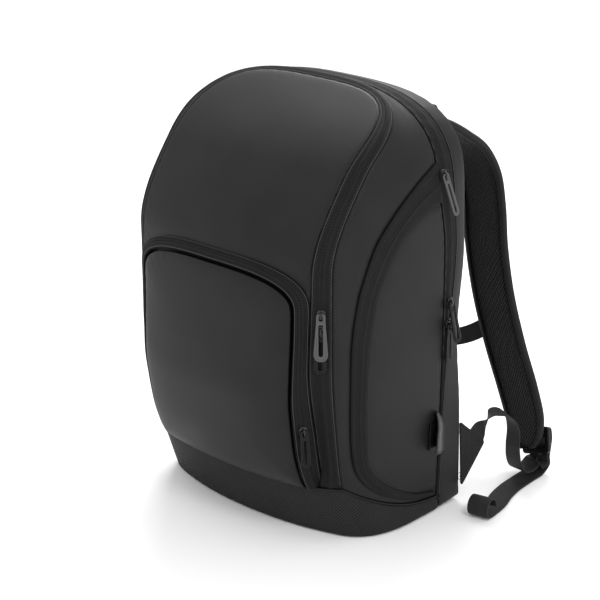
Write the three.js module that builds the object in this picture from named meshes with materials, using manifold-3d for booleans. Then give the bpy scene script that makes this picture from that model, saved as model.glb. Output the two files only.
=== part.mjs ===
// Laptop backpack that stands on its base.
// +Z is up, the front faces -Y, the straps hang at +Y and the cable port is at +X. Millimetres.
// The origin lies on the flat underside of the base.
import * as THREE from 'three';
import Module from 'manifold-3d';
import { mergeVertices } from 'three/addons/utils/BufferGeometryUtils.js';

// Driving sizes of the bag
const BAG_WIDTH = 319;
const BAG_HEIGHT = 463;
const BAG_DEPTH = 200;
const GAP = 0.3; // clearance between pieces that touch
const SHELL_WALL = 3; // foam-lined cloth
const TAPE_WALL = 2; // zip tape with its backing
const TAPE_SEAT = 0.5; // how far the side tape bands stand off the rounded side
const POCKET_WALL = 2;
const BASE_WALL = 2.6;
const BASE_HEIGHT = 56; // base seam at the middle of the front
const BASE_CORNER_RISE = 5.5; // how much higher the seam lies at the front corners
const BASE_ROUND = 5; // rounding between wall and underside
const FOOT_SETBACK = 12; // how far behind the rim's front the foot's front lies
const FOOT_BOW = 19; // how far the foot's front bows forward
const FOOT_CUT = 18; // how far beside the rim's front corners the foot's corners begin
const FOOT_REACH = 80; // how far behind them they end
const FOOT_SPREAD = 4; // how far the foot's sides stand out there
const FRONT_CROWN = 10;
const BACK_PAD = 11; // thickness of the padded back
const BACK_PAD_CROWN = 9;

// The front pocket
const POCKET_HEIGHT = 304; // top of its tape band above the floor
const POCKET_SHOULDER = 262;
const POCKET_ROUNDNESS = 2.8;
const POCKET_TAPE = 12; // width of the tape band from the front
const POCKET_CROWN = 7;

// Straps and webbing
const PAD_WIDTH = 60;
const PAD_THICKNESS = 10.5;
const WEBBING_WIDTH = 25;
const WEBBING_THICKNESS = 1.6;
const STERNUM_WIDTH = 20;
const STRAP_REACH = 199; // how far behind the origin the shoulder pads hang
const STERNUM_HEIGHT = 120; // lowest point of the sternum strap
const STERNUM_SAG = 27;
const LOCK_LENGTH = 28;
const LOCK_WIDTH = 34;
const LOCK_THICKNESS = 5;
const LOCK_BAR = 4;
const LOCK_SHIFT = 7; // how far the lock lies outwards of the pad's middle line
const LOCK_AT = 0.932; // share of the pad's length
const WING_THICKNESS = 3;
const WING_REACH = 32;
const ROLL_RADIUS = 10.5; // of the webbing's rolled end
const YOKE_WIDTH = 214;
const YOKE_HEIGHT = 30;
const YOKE_THICKNESS = 2.5;
const YOKE_MIDDLE = BAG_HEIGHT * 0.905; // height of the yoke's and the haul loop's middle
const HAUL_SPAN = 64;
const HAUL_RISE = 24;
const HAUL_THICKNESS = 2.4;
const BUCKLE_WIDTH = 37.2;
const BUCKLE_HEIGHT = 28;
const BUCKLE_THICKNESS = 8;

// Zip sliders and pulls
const SLIDER_LENGTH = 12;
const SLIDER_WIDTH = 8.4;
const SLIDER_THICKNESS = 2.9;
const BRIDGE_WIDTH = 2.6;
const BRIDGE_WIRE = 1.3;
const PULL_THICKNESS = 1.5;
const PULL_BAR = 1.5; // bar of the pull inside the slider's bridge

// Cable port
const HOOD_FOOT = 75.5; // height of its lower edge
const HOOD_FRONT = 20.5; // how far behind the origin its free edge stands
const HOOD_LENGTH = 44;
const HOOD_WIDTH = 25;
const HOOD_RISE = 12.5;
const HOOD_WALL = 1.8;
const PORT_WIDTH = 18;
const PORT_LENGTH = 31;
const PORT_THICKNESS = 2;

// The seams that run up one side, over the top and down the other, from front to back. Widths are
// shares of half of BAG_WIDTH, heights of BAG_HEIGHT, and the depths at HEIGHT_STEPS of BAG_DEPTH.
const HEIGHT_STEPS = [0, 0.25, 0.45, 0.65, 0.85, 1];
const SEAMS = [
  { name: 'FRONT_TAPE', half: 0.795, foot_half: 0.687, top: 0.995, shoulder: 0.88, round: 3.4,
    foot: 0.134, depths: [-0.39, -0.552, -0.634, -0.632, -0.408, 0.056] },
  { name: 'SIDE', half: 0.899, foot_half: 0.861, top: 1, shoulder: 0.88, round: 2.67,
    foot: 0.134, depths: [-0.393, -0.514, -0.56, -0.567, -0.335, 0.122] },
  { name: 'REAR_TAPE', half: 1, foot_half: 0.976, top: 0.992, shoulder: 0.78, round: 2.62,
    foot: 0.037, depths: [0.19, 0.198, 0.2, 0.195, 0.129, 0.162] },
  { name: 'GUSSET', half: 0.998, foot_half: 0.97, top: 0.988, shoulder: 0.77, round: 2.8,
    foot: 0.026, depths: [0.212, 0.217, 0.243, 0.283, 0.246, 0.243] },
  { name: 'BACK', half: 0.98, foot_half: 0.963, top: 0.976, shoulder: 0.77, round: 3.1,
    foot: 0.03, depths: [0.393, 0.373, 0.335, 0.37, 0.357, 0.357] },
];
const SEAM = Object.fromEntries(SEAMS.map((seam, index) => [seam.name, index]));
const SIDE_SHARE = 0.5; // share of half a seam that is the straight side, below the dome

// The S-shaped tape band on each side: front and rear edge, depth as a share of BAG_DEPTH and
// height of BAG_HEIGHT
const SIDE_TAPE = [
  { front_y: 0.118, front_z: 0.849, rear_y: 0.142, rear_z: 0.758 },
  { front_y: -0.02, front_z: 0.817, rear_y: -0.01, rear_z: 0.73 },
  { front_y: -0.185, front_z: 0.756, rear_y: -0.135, rear_z: 0.691 },
  { front_y: -0.315, front_z: 0.693, rear_y: -0.225, rear_z: 0.639 },
  { front_y: -0.415, front_z: 0.596, rear_y: -0.3, rear_z: 0.577 },
  { front_y: -0.455, front_z: 0.486, rear_y: -0.34, rear_z: 0.475 },
  { front_y: -0.455, front_z: 0.361, rear_y: -0.355, rear_z: 0.361 },
  { front_y: -0.44, front_z: 0.248, rear_y: -0.345, rear_z: 0.248 },
  { front_y: -0.41, front_z: 0.181, rear_y: -0.325, rear_z: 0.183 },
  { front_y: -0.345, front_z: 0.136, rear_y: -0.275, rear_z: 0.147 },
  { front_y: -0.235, front_z: 0.098, rear_y: -0.195, rear_z: 0.117 },
  { front_y: -0.09, front_z: 0.069, rear_y: -0.07, rear_z: 0.085 },
  { front_y: 0.045, front_z: 0.052, rear_y: 0.05, rear_z: 0.065 },
  { front_y: 0.165, front_z: 0.046, rear_y: 0.165, rear_z: 0.056 },
];

// How far the pocket's front edge stands before the front panel, by height as a share of
// POCKET_HEIGHT
const POCKET_LIFT = [
  { height: 0.19, lift: 15 },
  { height: 0.25, lift: 20 },
  { height: 0.34, lift: 22 },
  { height: 0.5, lift: 18.5 },
  { height: 0.66, lift: 11 },
  { height: 0.82, lift: 9 },
  { height: 1, lift: 9 },
];

// Middle line of a shoulder pad: across as a share of BAG_WIDTH, behind of STRAP_REACH, height of
// BAG_HEIGHT, width of PAD_WIDTH. The first point is moved onto the yoke.
const PAD_LINE = [
  { across: 0.229, behind: 0.452, height: 0.903, width: 0.92 },
  { across: 0.232, behind: 0.57, height: 0.878, width: 1 },
  { across: 0.235, behind: 0.72, height: 0.842, width: 1 },
  { across: 0.236, behind: 0.86, height: 0.8, width: 1 },
  { across: 0.24, behind: 0.965, height: 0.732, width: 1 },
  { across: 0.248, behind: 1, height: 0.648, width: 1 },
  { across: 0.265, behind: 1, height: 0.545, width: 0.99 },
  { across: 0.304, behind: 1, height: 0.421, width: 0.97 },
  { across: 0.365, behind: 1, height: 0.3, width: 0.95 },
  { across: 0.427, behind: 1, height: 0.2, width: 0.93 },
  { across: 0.471, behind: 0.99, height: 0.128, width: 0.86 },
  { across: 0.493, behind: 0.97, height: 0.083, width: 0.66 },
  { across: 0.504, behind: 0.952, height: 0.058, width: 0.3 },
];

// Middle line of the adjuster webbing, as shares of half BAG_WIDTH, STRAP_REACH and BAG_HEIGHT,
// from the wing over its arch and under the pad to the lock; turn of its width in degrees
const WEBBING_LINE = [
  { across: 1.0, behind: 0.575, height: 0.178, turn: 48 },
  { across: 1.019, behind: 0.615, height: 0.198, turn: 42 },
  { across: 1.049, behind: 0.664, height: 0.197, turn: 32 },
  { across: 1.073, behind: 0.719, height: 0.176, turn: 22 },
  { across: 1.079, behind: 0.744, height: 0.142, turn: 17 },
  { across: 1.079, behind: 0.744, height: 0.102, turn: 14 },
  { across: 1.065, behind: 0.774, height: 0.059, turn: 10 },
  { across: 1.045, behind: 0.84, height: 0.026, turn: 5 },
  { across: 1.035, behind: 0.925, height: 0.016, turn: 0 },
  { across: 1.045, behind: 0.99, height: 0.032, turn: 0 },
];

// The webbing's way through the lock and round its bars: climb as a share of half LOCK_LENGTH,
// rise above the lock's outer face in mm
const THREADING = [
  { climb: -1.7, rise: 0.5 },
  { climb: -1.1, rise: 0 },
  { climb: -0.72, rise: 0 },
  { climb: -0.4, rise: -2.4 },
  { climb: -0.12, rise: -5.2 },
  { climb: 0.12, rise: -5.2 },
  { climb: 0.4, rise: -2.4 },
  { climb: 0.72, rise: 0.2 },
  { climb: 0.98, rise: 3.2 },
  { climb: 0.9, rise: 8 },
  { climb: 0.2, rise: 9.5 },
  { climb: -0.6, rise: 7 },
  { climb: -1.2, rise: 4.2 },
];

// The webbing's tail along the floor, in the same shares; rise above the floor in mm
const TAIL_LINE = [
  { across: 1.066, behind: 1.015, rise: 9 },
  { across: 1.066, behind: 0.95, rise: 0.5 },
  { across: 1.085, behind: 0.815, rise: 0 },
  { across: 1.105, behind: 0.71, rise: 0 },
  { across: 1.146, behind: 0.59, rise: 0 },
  { across: 1.206, behind: 0.47, rise: 0 },
  { across: 1.24, behind: 0.355, rise: 0 },
];

// The hood of the cable port: up as a share of HOOD_LENGTH, sewn rear edge and free front edge of
// HOOD_WIDTH, rise of HOOD_RISE
const HOOD_LINE = [
  { up: 0, rear: 1, free: 0, rise: 1 },
  { up: 0.33, rear: 0.97, free: 0.03, rise: 1 },
  { up: 0.64, rear: 0.93, free: 0.12, rise: 0.9 },
  { up: 0.84, rear: 0.7, free: 0.2, rise: 0.66 },
  { up: 1, rear: 0.46, free: 0.28, rise: 0.26 },
];

// Vectors and curves
const V = (x, y, z) => new THREE.Vector3(x, y, z);
const RIGHT = V(1, 0, 0);
const UP = V(0, 0, 1);
const clamp = (value, low, high) => Math.min(high, Math.max(low, value));
const lerp = (a, b, share) => a + (b - a) * share;

// A smooth curve through (steps, values) that does not overshoot between them
function smoothTable(steps, values) {
  const last = steps.length - 1;
  const width = steps.slice(1).map((step, i) => step - steps[i]);
  const rise = values.slice(1).map((value, i) => (value - values[i]) / width[i]);
  const slope = values.map(() => 0);
  for (let i = 1; i < last; i += 1) {
    if (rise[i - 1] * rise[i] > 0) {
      const before = 2 * width[i] + width[i - 1];
      const after = width[i] + 2 * width[i - 1];
      slope[i] = (before + after) / (before / rise[i - 1] + after / rise[i]);
    }
  }
  slope[0] = endSlope(width[0], width[1], rise[0], rise[1]);
  slope[last] = endSlope(width[last - 1], width[last - 2], rise[last - 1], rise[last - 2]);
  return (at) => {
    const x = clamp(at, steps[0], steps[last]);
    let i = 0;
    while (i < last - 1 && x > steps[i + 1]) i += 1;
    const t = (x - steps[i]) / width[i];
    const bend = (3 - 2 * t) * t * t;
    const lead = t * (1 - t) * (1 - t) * width[i];
    const trail = t * t * (t - 1) * width[i];
    return values[i] * (1 - bend) + values[i + 1] * bend + slope[i] * lead + slope[i + 1] * trail;
  };
}

function endSlope(near, far, nearRise, farRise) {
  const slope = ((2 * near + far) * nearRise - near * farRise) / (near + far);
  if (slope * nearRise <= 0) return 0;
  return nearRise * farRise < 0 && Math.abs(slope) > 3 * Math.abs(nearRise) ? 3 * nearRise : slope;
}

for (const seam of SEAMS) {
  seam.depthAt = smoothTable(HEIGHT_STEPS, seam.depths.map((share) => share * BAG_DEPTH));
}
const pocketLift = smoothTable(POCKET_LIFT.map((row) => row.height * POCKET_HEIGHT),
  POCKET_LIFT.map((row) => row.lift));

// The bag's surface
function halfWidthAt(seam, z) {
  const half = (seam.half * BAG_WIDTH) / 2;
  const foot = (seam.foot_half * BAG_WIDTH) / 2;
  const top = seam.top * BAG_HEIGHT;
  const shoulder = seam.shoulder * top;
  if (z < shoulder) return half + (foot - half) * ((shoulder - z) / shoulder) ** 2;
  const rise = clamp((z - shoulder) / (top - shoulder), 0, 1);
  return half * (1 - rise ** seam.round) ** (1 / seam.round);
}

// Point of one seam, s from 0 at the right foot over the top to 1 at the left foot
function seamPoint(index, s) {
  const seam = SEAMS[index];
  const side = s < 0.5 ? 1 : -1;
  const climb = 1 - Math.abs(2 * s - 1);
  const top = seam.top * BAG_HEIGHT;
  const shoulder = seam.shoulder * top;
  const foot = seam.foot * BAG_HEIGHT;
  if (climb < SIDE_SHARE) {
    const z = foot + ((shoulder - foot) * climb) / SIDE_SHARE;
    return V(side * halfWidthAt(seam, z), seam.depthAt(z / top), z);
  }
  const angle = (((climb - SIDE_SHARE) / (1 - SIDE_SHARE)) * Math.PI) / 2;
  const cos = Math.max(0, Math.cos(angle));
  const sin = Math.sin(angle);
  const size = (cos ** seam.round + sin ** seam.round) ** (1 / seam.round);
  const z = shoulder + ((top - shoulder) * sin) / size;
  return V((side * ((seam.half * BAG_WIDTH) / 2) * cos) / size, seam.depthAt(z / top), z);
}

// Depth of the front panel, without the pocket
function frontDepth(x, z) {
  const seam = SEAMS[SEAM.FRONT_TAPE];
  const reach = Math.max(20, halfWidthAt(seam, z));
  const top = seam.top * BAG_HEIGHT;
  const fade = clamp((top - z) / (0.26 * BAG_HEIGHT), 0, 1);
  return seam.depthAt(z / top) - FRONT_CROWN * Math.max(0, 1 - (x / reach) ** 2) * fade;
}

// The base seam: level at the front, falling towards the back at the sides
function baseSeamHeight(point) {
  const corner = seamPoint(SEAM.SIDE, 0);
  if (point.y < corner.y || Math.abs(point.x) < corner.x) {
    return BASE_HEIGHT + BASE_CORNER_RISE * (point.x / corner.x) ** 2;
  }
  return point.z;
}

// Front of the base seam between the front corners
function baseFront(x) {
  const corner = seamPoint(SEAM.SIDE, 0);
  const bow = 0.0995 * BAG_DEPTH;
  return V(x, corner.y - bow * (1 - Math.abs(x / corner.x) ** 4.5), 0);
}

// Point on the shell: k counts seams from front (0) to back (4), s as in seamPoint
function hull(k, s) {
  if (k <= 0) {
    const rim = seamPoint(0, s);
    const x = rim.x * (1 + 0.4 * k);
    const z = lerp(rim.z, BAG_HEIGHT * 0.5, -0.4 * k);
    return V(x, frontDepth(x, z), z);
  }
  const index = Math.min(SEAMS.length - 2, Math.floor(k));
  const share = k - index;
  const front = seamPoint(index, s);
  const rear = seamPoint(index + 1, s);
  if (index !== SEAM.SIDE) return front.lerp(rear, share);
  const turn = 1 - (1 - share) ** 3;
  const point = V(lerp(front.x, rear.x, turn), lerp(front.y, rear.y, share), lerp(front.z, rear.z, turn));
  const climb = 1 - Math.abs(2 * s - 1);
  const footDrop = SEAMS[SEAM.SIDE].foot * BAG_HEIGHT - SEAMS[SEAM.REAR_TAPE].foot * BAG_HEIGHT;
  const bend = (1 - share) ** 2 - (1 - turn);
  point.z += footDrop * bend * Math.max(0, 1 - climb / SIDE_SHARE);
  return point;
}

// Outward normal, taken across the seams so that neighbours share one mitre
function hullNormal(k, s, reach = 0.3) {
  const step = 0.006;
  const across = hull(Math.min(SEAM.BACK, k + reach), s).sub(hull(k - reach, s));
  const along = hull(k, Math.min(1, s + step)).sub(hull(k, Math.max(0, s - step)));
  return across.cross(along).normalize();
}

// s of the point of the shell that lies at height z, on the right or left side
function climbTo(k, z, side = 1) {
  let low = 0;
  let high = 0.5;
  for (let i = 0; i < 40; i += 1) {
    const middle = (low + high) / 2;
    if (hull(k, middle).z < z) low = middle;
    else high = middle;
  }
  return side > 0 ? low : 1 - low;
}

// k and s of the point between the two tape bands at depth y and height z
function placeOnSide(y, z, side = 1) {
  let k = SEAM.SIDE + 0.5;
  let s = 0.2;
  for (let i = 0; i < 30; i += 1) {
    s = climbTo(k, z, 1);
    const front = seamPoint(SEAM.SIDE, s).y;
    const rear = seamPoint(SEAM.REAR_TAPE, s).y;
    k = SEAM.SIDE + clamp((y - front) / (rear - front), 0, 1);
  }
  return { k, s: side > 0 ? s : 1 - s };
}

// Closed meshes
class Solid {
  constructor() {
    this.index = new Map();
    this.points = [];
    this.faces = [];
  }

  vertex(point) {
    const key = [point.x, point.y, point.z].map((value) => Math.round(value * 2000)).join(',');
    if (!this.index.has(key)) {
      this.index.set(key, this.points.length);
      this.points.push(point.clone());
    }
    return this.index.get(key);
  }

  triangle(a, b, c) {
    const corners = [this.vertex(a), this.vertex(b), this.vertex(c)];
    if (new Set(corners).size === 3) this.faces.push(corners);
  }

  quad(a, b, c, d) {
    this.triangle(a, b, c);
    this.triangle(a, c, d);
  }

  geometry() {
    let volume = 0;
    for (const [a, b, c] of this.faces) {
      volume += this.points[a].dot(this.points[b].clone().cross(this.points[c]));
    }
    const faces = volume < 0 ? this.faces.map(([a, b, c]) => [a, c, b]) : this.faces;
    const geometry = new THREE.BufferGeometry();
    const positions = this.points.flatMap((point) => point.toArray());
    geometry.setAttribute('position', new THREE.Float32BufferAttribute(positions, 3));
    geometry.setIndex(faces.flat());
    geometry.computeVertexNormals();
    return geometry;
  }
}

// A wall: outer and inner are grids of points, joined along their open edges
function wall(outer, inner, wraps = false) {
  const solid = new Solid();
  const rows = outer.length;
  const columns = outer[0].length;
  const next = (j) => (j + 1) % columns;
  const spans = wraps ? columns : columns - 1;
  for (let i = 0; i < rows - 1; i += 1) {
    for (let j = 0; j < spans; j += 1) {
      solid.quad(outer[i][j], outer[i][next(j)], outer[i + 1][next(j)], outer[i + 1][j]);
      solid.quad(inner[i][j], inner[i + 1][j], inner[i + 1][next(j)], inner[i][next(j)]);
    }
  }
  for (let j = 0; j < spans; j += 1) {
    solid.quad(outer[0][j], inner[0][j], inner[0][next(j)], outer[0][next(j)]);
    solid.quad(outer[rows - 1][j], outer[rows - 1][next(j)], inner[rows - 1][next(j)], inner[rows - 1][j]);
  }
  if (!wraps) {
    for (let i = 0; i < rows - 1; i += 1) {
      solid.quad(outer[i][0], outer[i + 1][0], inner[i + 1][0], inner[i][0]);
      const end = columns - 1;
      solid.quad(outer[i][end], inner[i][end], inner[i + 1][end], outer[i + 1][end]);
    }
  }
  return solid.geometry();
}

// A bar through closed sections that have the same number of points
function loft(sections) {
  const solid = new Solid();
  const count = sections[0].length;
  for (let i = 0; i < sections.length - 1; i += 1) {
    for (let j = 0; j < count; j += 1) {
      const k = (j + 1) % count;
      solid.quad(sections[i][j], sections[i + 1][j], sections[i + 1][k], sections[i][k]);
    }
  }
  for (const [section, flip] of [[sections[0], false], [sections[sections.length - 1], true]]) {
    const centre = section.reduce((sum, point) => sum.add(point), V(0, 0, 0)).divideScalar(count);
    for (let j = 0; j < count; j += 1) {
      const k = (j + 1) % count;
      if (flip) solid.triangle(centre, section[k], section[j]);
      else solid.triangle(centre, section[j], section[k]);
    }
  }
  return solid.geometry();
}

// A flat strip of webbing along points, with a width direction for each
function strip(points, widths, width, thickness) {
  const last = points.length - 1;
  const sections = points.map((point, i) => {
    const along = points[Math.min(last, i + 1)].clone().sub(points[Math.max(0, i - 1)]).normalize();
    const side = widths[i].clone().addScaledVector(along, -widths[i].dot(along)).normalize();
    const face = along.clone().cross(side).normalize();
    const corner = (a, b) => point.clone().addScaledVector(side, (a * width) / 2)
      .addScaledVector(face, (b * thickness) / 2);
    return [corner(-1, -1), corner(1, -1), corner(1, 1), corner(-1, 1)];
  });
  return loft(sections);
}

function mirrored(geometry) {
  const copy = geometry.clone();
  const position = copy.getAttribute('position');
  for (let i = 0; i < position.count; i += 1) position.setX(i, -position.getX(i));
  const index = copy.getIndex().array.slice();
  for (let i = 0; i < index.length; i += 3) [index[i + 1], index[i + 2]] = [index[i + 2], index[i + 1]];
  copy.setIndex(Array.from(index));
  copy.computeVertexNormals();
  return copy;
}

// A geometry placed by three axes and a point
function placed(geometry, xAxis, yAxis, zAxis, point) {
  const matrix = new THREE.Matrix4().makeBasis(xAxis, yAxis, zAxis).setPosition(point);
  return geometry.clone().applyMatrix4(matrix);
}

// Joins two closed geometries
const wasm = await Module();
wasm.setup();
function manifoldOf(geometry) {
  const bare = geometry.clone();
  bare.deleteAttribute('normal');
  bare.deleteAttribute('uv');
  const merged = mergeVertices(bare, 1e-4);
  return new wasm.Manifold(new wasm.Mesh({
    numProp: 3,
    vertProperties: Float32Array.from(merged.getAttribute('position').array),
    triVerts: Uint32Array.from(merged.getIndex().array),
  }));
}

function joined(first, second) {
  const mesh = manifoldOf(first).add(manifoldOf(second)).getMesh();
  const geometry = new THREE.BufferGeometry();
  geometry.setAttribute('position', new THREE.BufferAttribute(mesh.vertProperties, 3));
  geometry.setIndex(new THREE.BufferAttribute(mesh.triVerts, 1));
  geometry.computeVertexNormals();
  return geometry;
}

// Materials
const finish = (name, color, roughness, metalness = 0) => {
  const material = new THREE.MeshStandardMaterial({ color, roughness, metalness });
  material.name = name;
  return material;
};
const SHELL_CLOTH = finish('shell_cloth', '#36363a', 0.62);
const BASE_CLOTH = finish('base_cloth', '#232325', 0.78);
const ZIP_TAPE = finish('zip_tape', '#222224', 0.8);
const AIR_MESH = finish('air_mesh', '#18181a', 0.92);
const WEBBING = finish('webbing', '#2a2a2d', 0.7);
const DULL_METAL = finish('black_metal', '#17171a', 0.35, 0.8);
const PULL_RUBBER = finish('pull_rubber', '#4b4b4e', 0.6);
const BLACK_PLASTIC = finish('black_plastic', '#131315', 0.45);
const HOOD_LEATHER = finish('hood_leather', '#2b2b2d', 0.42);

const backpack = new THREE.Group();
function addPiece(name, geometry, material) {
  const mesh = new THREE.Mesh(geometry, material);
  mesh.name = name;
  backpack.add(mesh);
}

// Panels between the seams
const RING_STEPS = 44;
const SEAM_CLEARANCE = GAP * 0.75;

function panelBetween(from, to, columns, thickness) {
  const inset = SEAM_CLEARANCE / hull(from, 0.25).distanceTo(hull(to, 0.25));
  const outer = [];
  const inner = [];
  for (let i = 0; i <= columns; i += 1) {
    const share = lerp(inset, 1 - inset, i / columns);
    const k = lerp(from, to, share);
    const rowOuter = [];
    const rowInner = [];
    for (let j = 0; j <= RING_STEPS; j += 1) {
      const s = j / RING_STEPS;
      const point = hull(k, s);
      if (j === 0 || j === RING_STEPS) point.z += SEAM_CLEARANCE * 2;
      const normal = hullNormal(clamp(k, 0, SEAM.BACK), s);
      if (j === 0 || j === RING_STEPS) normal.setZ(0).normalize();
      rowOuter.push(point);
      rowInner.push(point.clone().addScaledVector(normal, -thickness));
    }
    outer.push(rowOuter);
    inner.push(rowInner);
  }
  return wall(outer, inner);
}

// The front panel: a dome inside the first seam, closed below at the base seam
function frontPanel() {
  const rings = [0, 0.3, 0.55, 0.78, 0.93, 1];
  const footSteps = 10;
  const rim = [];
  for (let j = 0; j <= RING_STEPS; j += 1) {
    const s = j / RING_STEPS;
    rim.push({ point: seamPoint(0, s), s });
  }
  const left = rim[RING_STEPS].point;
  for (let j = 1; j < footSteps; j += 1) {
    const x = left.x * (1 - (2 * j) / footSteps);
    rim.push({ point: V(x, 0, 0), s: null });
  }
  const centre = V(0, 0, BAG_HEIGHT * 0.5);
  const outer = [];
  const inner = [];
  for (const ring of rings) {
    const rowOuter = [];
    const rowInner = [];
    for (const { point, s } of rim) {
      const foot = s === null || s === 0 || s === 1;
      const edge = point.clone();
      if (foot) edge.z = baseSeamHeight(V(point.x, -BAG_DEPTH, 0)) + SEAM_CLEARANCE * 2;
      const reach = ring === 1 ? 1 - SEAM_CLEARANCE / edge.distanceTo(centre) : ring;
      const x = lerp(centre.x, edge.x, reach);
      const z = foot && ring === 1 ? edge.z : lerp(centre.z, edge.z, reach);
      const place = V(x, frontDepth(x, z) - footFlare(x, z), z);
      const normal = ring === 1 && s !== null ? hullNormal(0, s) : V(0, -1, 0);
      if (foot) normal.setZ(0).normalize();
      rowOuter.push(place);
      rowInner.push(place.clone().addScaledVector(normal, -SHELL_WALL));
    }
    outer.push(rowOuter);
    inner.push(rowInner);
  }
  return wall(outer, inner, true);
}

// Near its foot, behind the pocket, the front panel leans out to the base seam
function footFlare(x, z) {
  const corner = halfWidthAt(SEAMS[0], z) - POCKET_TAPE;
  const near = clamp(1 - (z - BASE_HEIGHT) / 40, 0, 1) ** 2;
  const across = clamp(1 - Math.abs(x / corner) ** 6, 0, 1);
  const gap = frontDepth(x, BASE_HEIGHT) - baseFront(x).y;
  return near * across * Math.max(0, gap - BASE_WALL - POCKET_WALL);
}

// The base: a tray whose rim is the base seam
function baseRim() {
  const rim = [];
  const sideSteps = 7;
  const frontSteps = 14;
  rim.push(hull(SEAM.GUSSET, 0));
  for (let i = 0; i <= sideSteps; i += 1) rim.push(hull(lerp(SEAM.REAR_TAPE, SEAM.SIDE, i / sideSteps), 0));
  const corner = seamPoint(SEAM.SIDE, 0);
  for (let i = 1; i < frontSteps; i += 1) {
    const x = corner.x * Math.cos((i / frontSteps) * Math.PI);
    const point = baseFront(x);
    point.z = baseSeamHeight(point);
    rim.push(point);
  }
  const right = rim.slice(0, 1 + sideSteps + 1);
  for (const point of right.reverse()) rim.push(V(-point.x, point.y, point.z));
  return rim;
}

// The foot is rounder than the rim: its front bows more and its corners are cut wide
function footPoint(point) {
  const side = Math.sign(point.x);
  const x = Math.abs(point.x);
  const corner = seamPoint(SEAM.SIDE, 0);
  const rear = seamPoint(SEAM.REAR_TAPE, 0);
  const ahead = V(corner.x - FOOT_CUT, baseFront(0).y + FOOT_SETBACK + FOOT_BOW, 0);
  const power = 2.2;
  if (x < ahead.x) return V(point.x, ahead.y - FOOT_BOW * (1 - (x / ahead.x) ** power), point.z);
  const behind = hull(SEAM.SIDE + FOOT_REACH / (rear.y - corner.y), 0);
  const spread = FOOT_SPREAD * clamp((rear.y - point.y) / (rear.y - behind.y), 0, 1);
  if (point.y > behind.y) return V(side * (x + spread), point.y, point.z);
  behind.x += FOOT_SPREAD;
  const knee = V(behind.x, ahead.y + ((behind.x - ahead.x) * FOOT_BOW * power) / ahead.x, 0);
  const beside = clamp((x - ahead.x) / FOOT_CUT, 0, 1);
  const beyond = clamp((point.y - corner.y) / FOOT_REACH, 0, 1);
  const cornerShare = 0.3;
  const share = beyond > 0 ? lerp(cornerShare, 1, beyond) : beside * cornerShare;
  const cut = new THREE.QuadraticBezierCurve3(ahead, knee, behind).getPoint(share);
  return V(side * cut.x, cut.y, point.z);
}

function baseBoot() {
  const rim = baseRim();
  const feet = rim.map(footPoint);
  const count = rim.length;
  const rear = seamPoint(SEAM.GUSSET, 0).y - 2 * GAP;
  const centre = V(0, rear, 0);
  const arcSteps = 3;
  const rows = [];
  const inward = [];
  rim.forEach((top, j) => {
    const before = feet[Math.max(0, j - 1)];
    const after = feet[Math.min(count - 1, j + 1)];
    const along = V(after.x - before.x, after.y - before.y, 0).normalize();
    const out = V(-along.y, along.x, 0);
    if (j === 0 || j === count - 1) out.set(Math.sign(top.x), 0, 0);
    const rounding = Math.min(BASE_ROUND, top.z * 0.45);
    const wallFoot = feet[j].clone().setZ(rounding);
    if (j === 0 || j === count - 1) wallFoot.y = rear;
    const ring = [];
    const normals = [];
    for (const share of [0, 0.45, 0.8]) {
      const floor = wallFoot.clone().addScaledVector(out, -rounding).setZ(0);
      ring.push(centre.clone().lerp(floor, share));
      normals.push(V(0, 0, -1));
    }
    for (let i = 0; i <= arcSteps; i += 1) {
      const angle = ((i / arcSteps) * Math.PI) / 2;
      ring.push(wallFoot.clone().addScaledVector(out, -rounding * (1 - Math.sin(angle)))
        .setZ(rounding * (1 - Math.cos(angle))));
      normals.push(out.clone().multiplyScalar(Math.sin(angle)).setZ(-Math.cos(angle)));
    }
    const crest = V(top.x, j === 0 || j === count - 1 ? rear : top.y, top.z);
    ring.push(wallFoot.clone().lerp(crest, 0.5));
    normals.push(out.clone());
    ring.push(crest);
    normals.push(out.clone());
    rows.push(ring);
    inward.push(ring.map((point, i) => point.clone().addScaledVector(normals[i], -BASE_WALL)));
  });
  return wall(rows, inward);
}

// The gusset behind the rear tape: a closed rim that also runs under the bag
function closedRim(k) {
  const loop = [];
  for (let j = 0; j <= RING_STEPS; j += 1) loop.push(hull(k, j / RING_STEPS));
  const foot = hull(k, 0);
  const lift = k > SEAM.GUSSET ? (k - SEAM.GUSSET) * 3.5 : 0;
  const rounding = (foot.z - lift) / 2;
  const corner = [];
  for (const angle of [90, 45, 0].map((degrees) => (degrees * Math.PI) / 180)) {
    const x = foot.x - rounding * (1 - Math.sin(angle));
    corner.push(V(x, foot.y, lift + rounding * (1 - Math.cos(angle))));
  }
  for (const point of corner) loop.push(V(-point.x, point.y, point.z));
  const flat = corner[2].x;
  for (const share of [-0.5, 0, 0.5]) loop.push(V(share * flat, foot.y, lift));
  return [...loop, ...corner.reverse()];
}

// Level directions that point into the bag
function loopNormals(loop) {
  const count = loop.length;
  return loop.map((point, j) => {
    const along = loop[(j + 1) % count].clone().sub(loop[(j + count - 1) % count]);
    return V(-along.z, 0, along.x).normalize();
  });
}

function rearGusset() {
  const columns = 3;
  const inset = SEAM_CLEARANCE / (hull(3, 0.25).distanceTo(hull(4, 0.25)));
  const outer = [];
  const inner = [];
  for (let i = 0; i <= columns; i += 1) {
    const k = lerp(SEAM.GUSSET + inset, SEAM.BACK, i / columns);
    const loop = closedRim(k);
    const normals = loopNormals(loop);
    outer.push(loop);
    inner.push(loop.map((point, j) => {
      const mitre = i === 0 && j > 0 && j < RING_STEPS ? hullNormal(SEAM.GUSSET, j / RING_STEPS) : null;
      return point.clone().addScaledVector(mitre ?? normals[j], mitre ? -SHELL_WALL : SHELL_WALL);
    }));
  }
  return wall(outer, inner, true);
}

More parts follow.
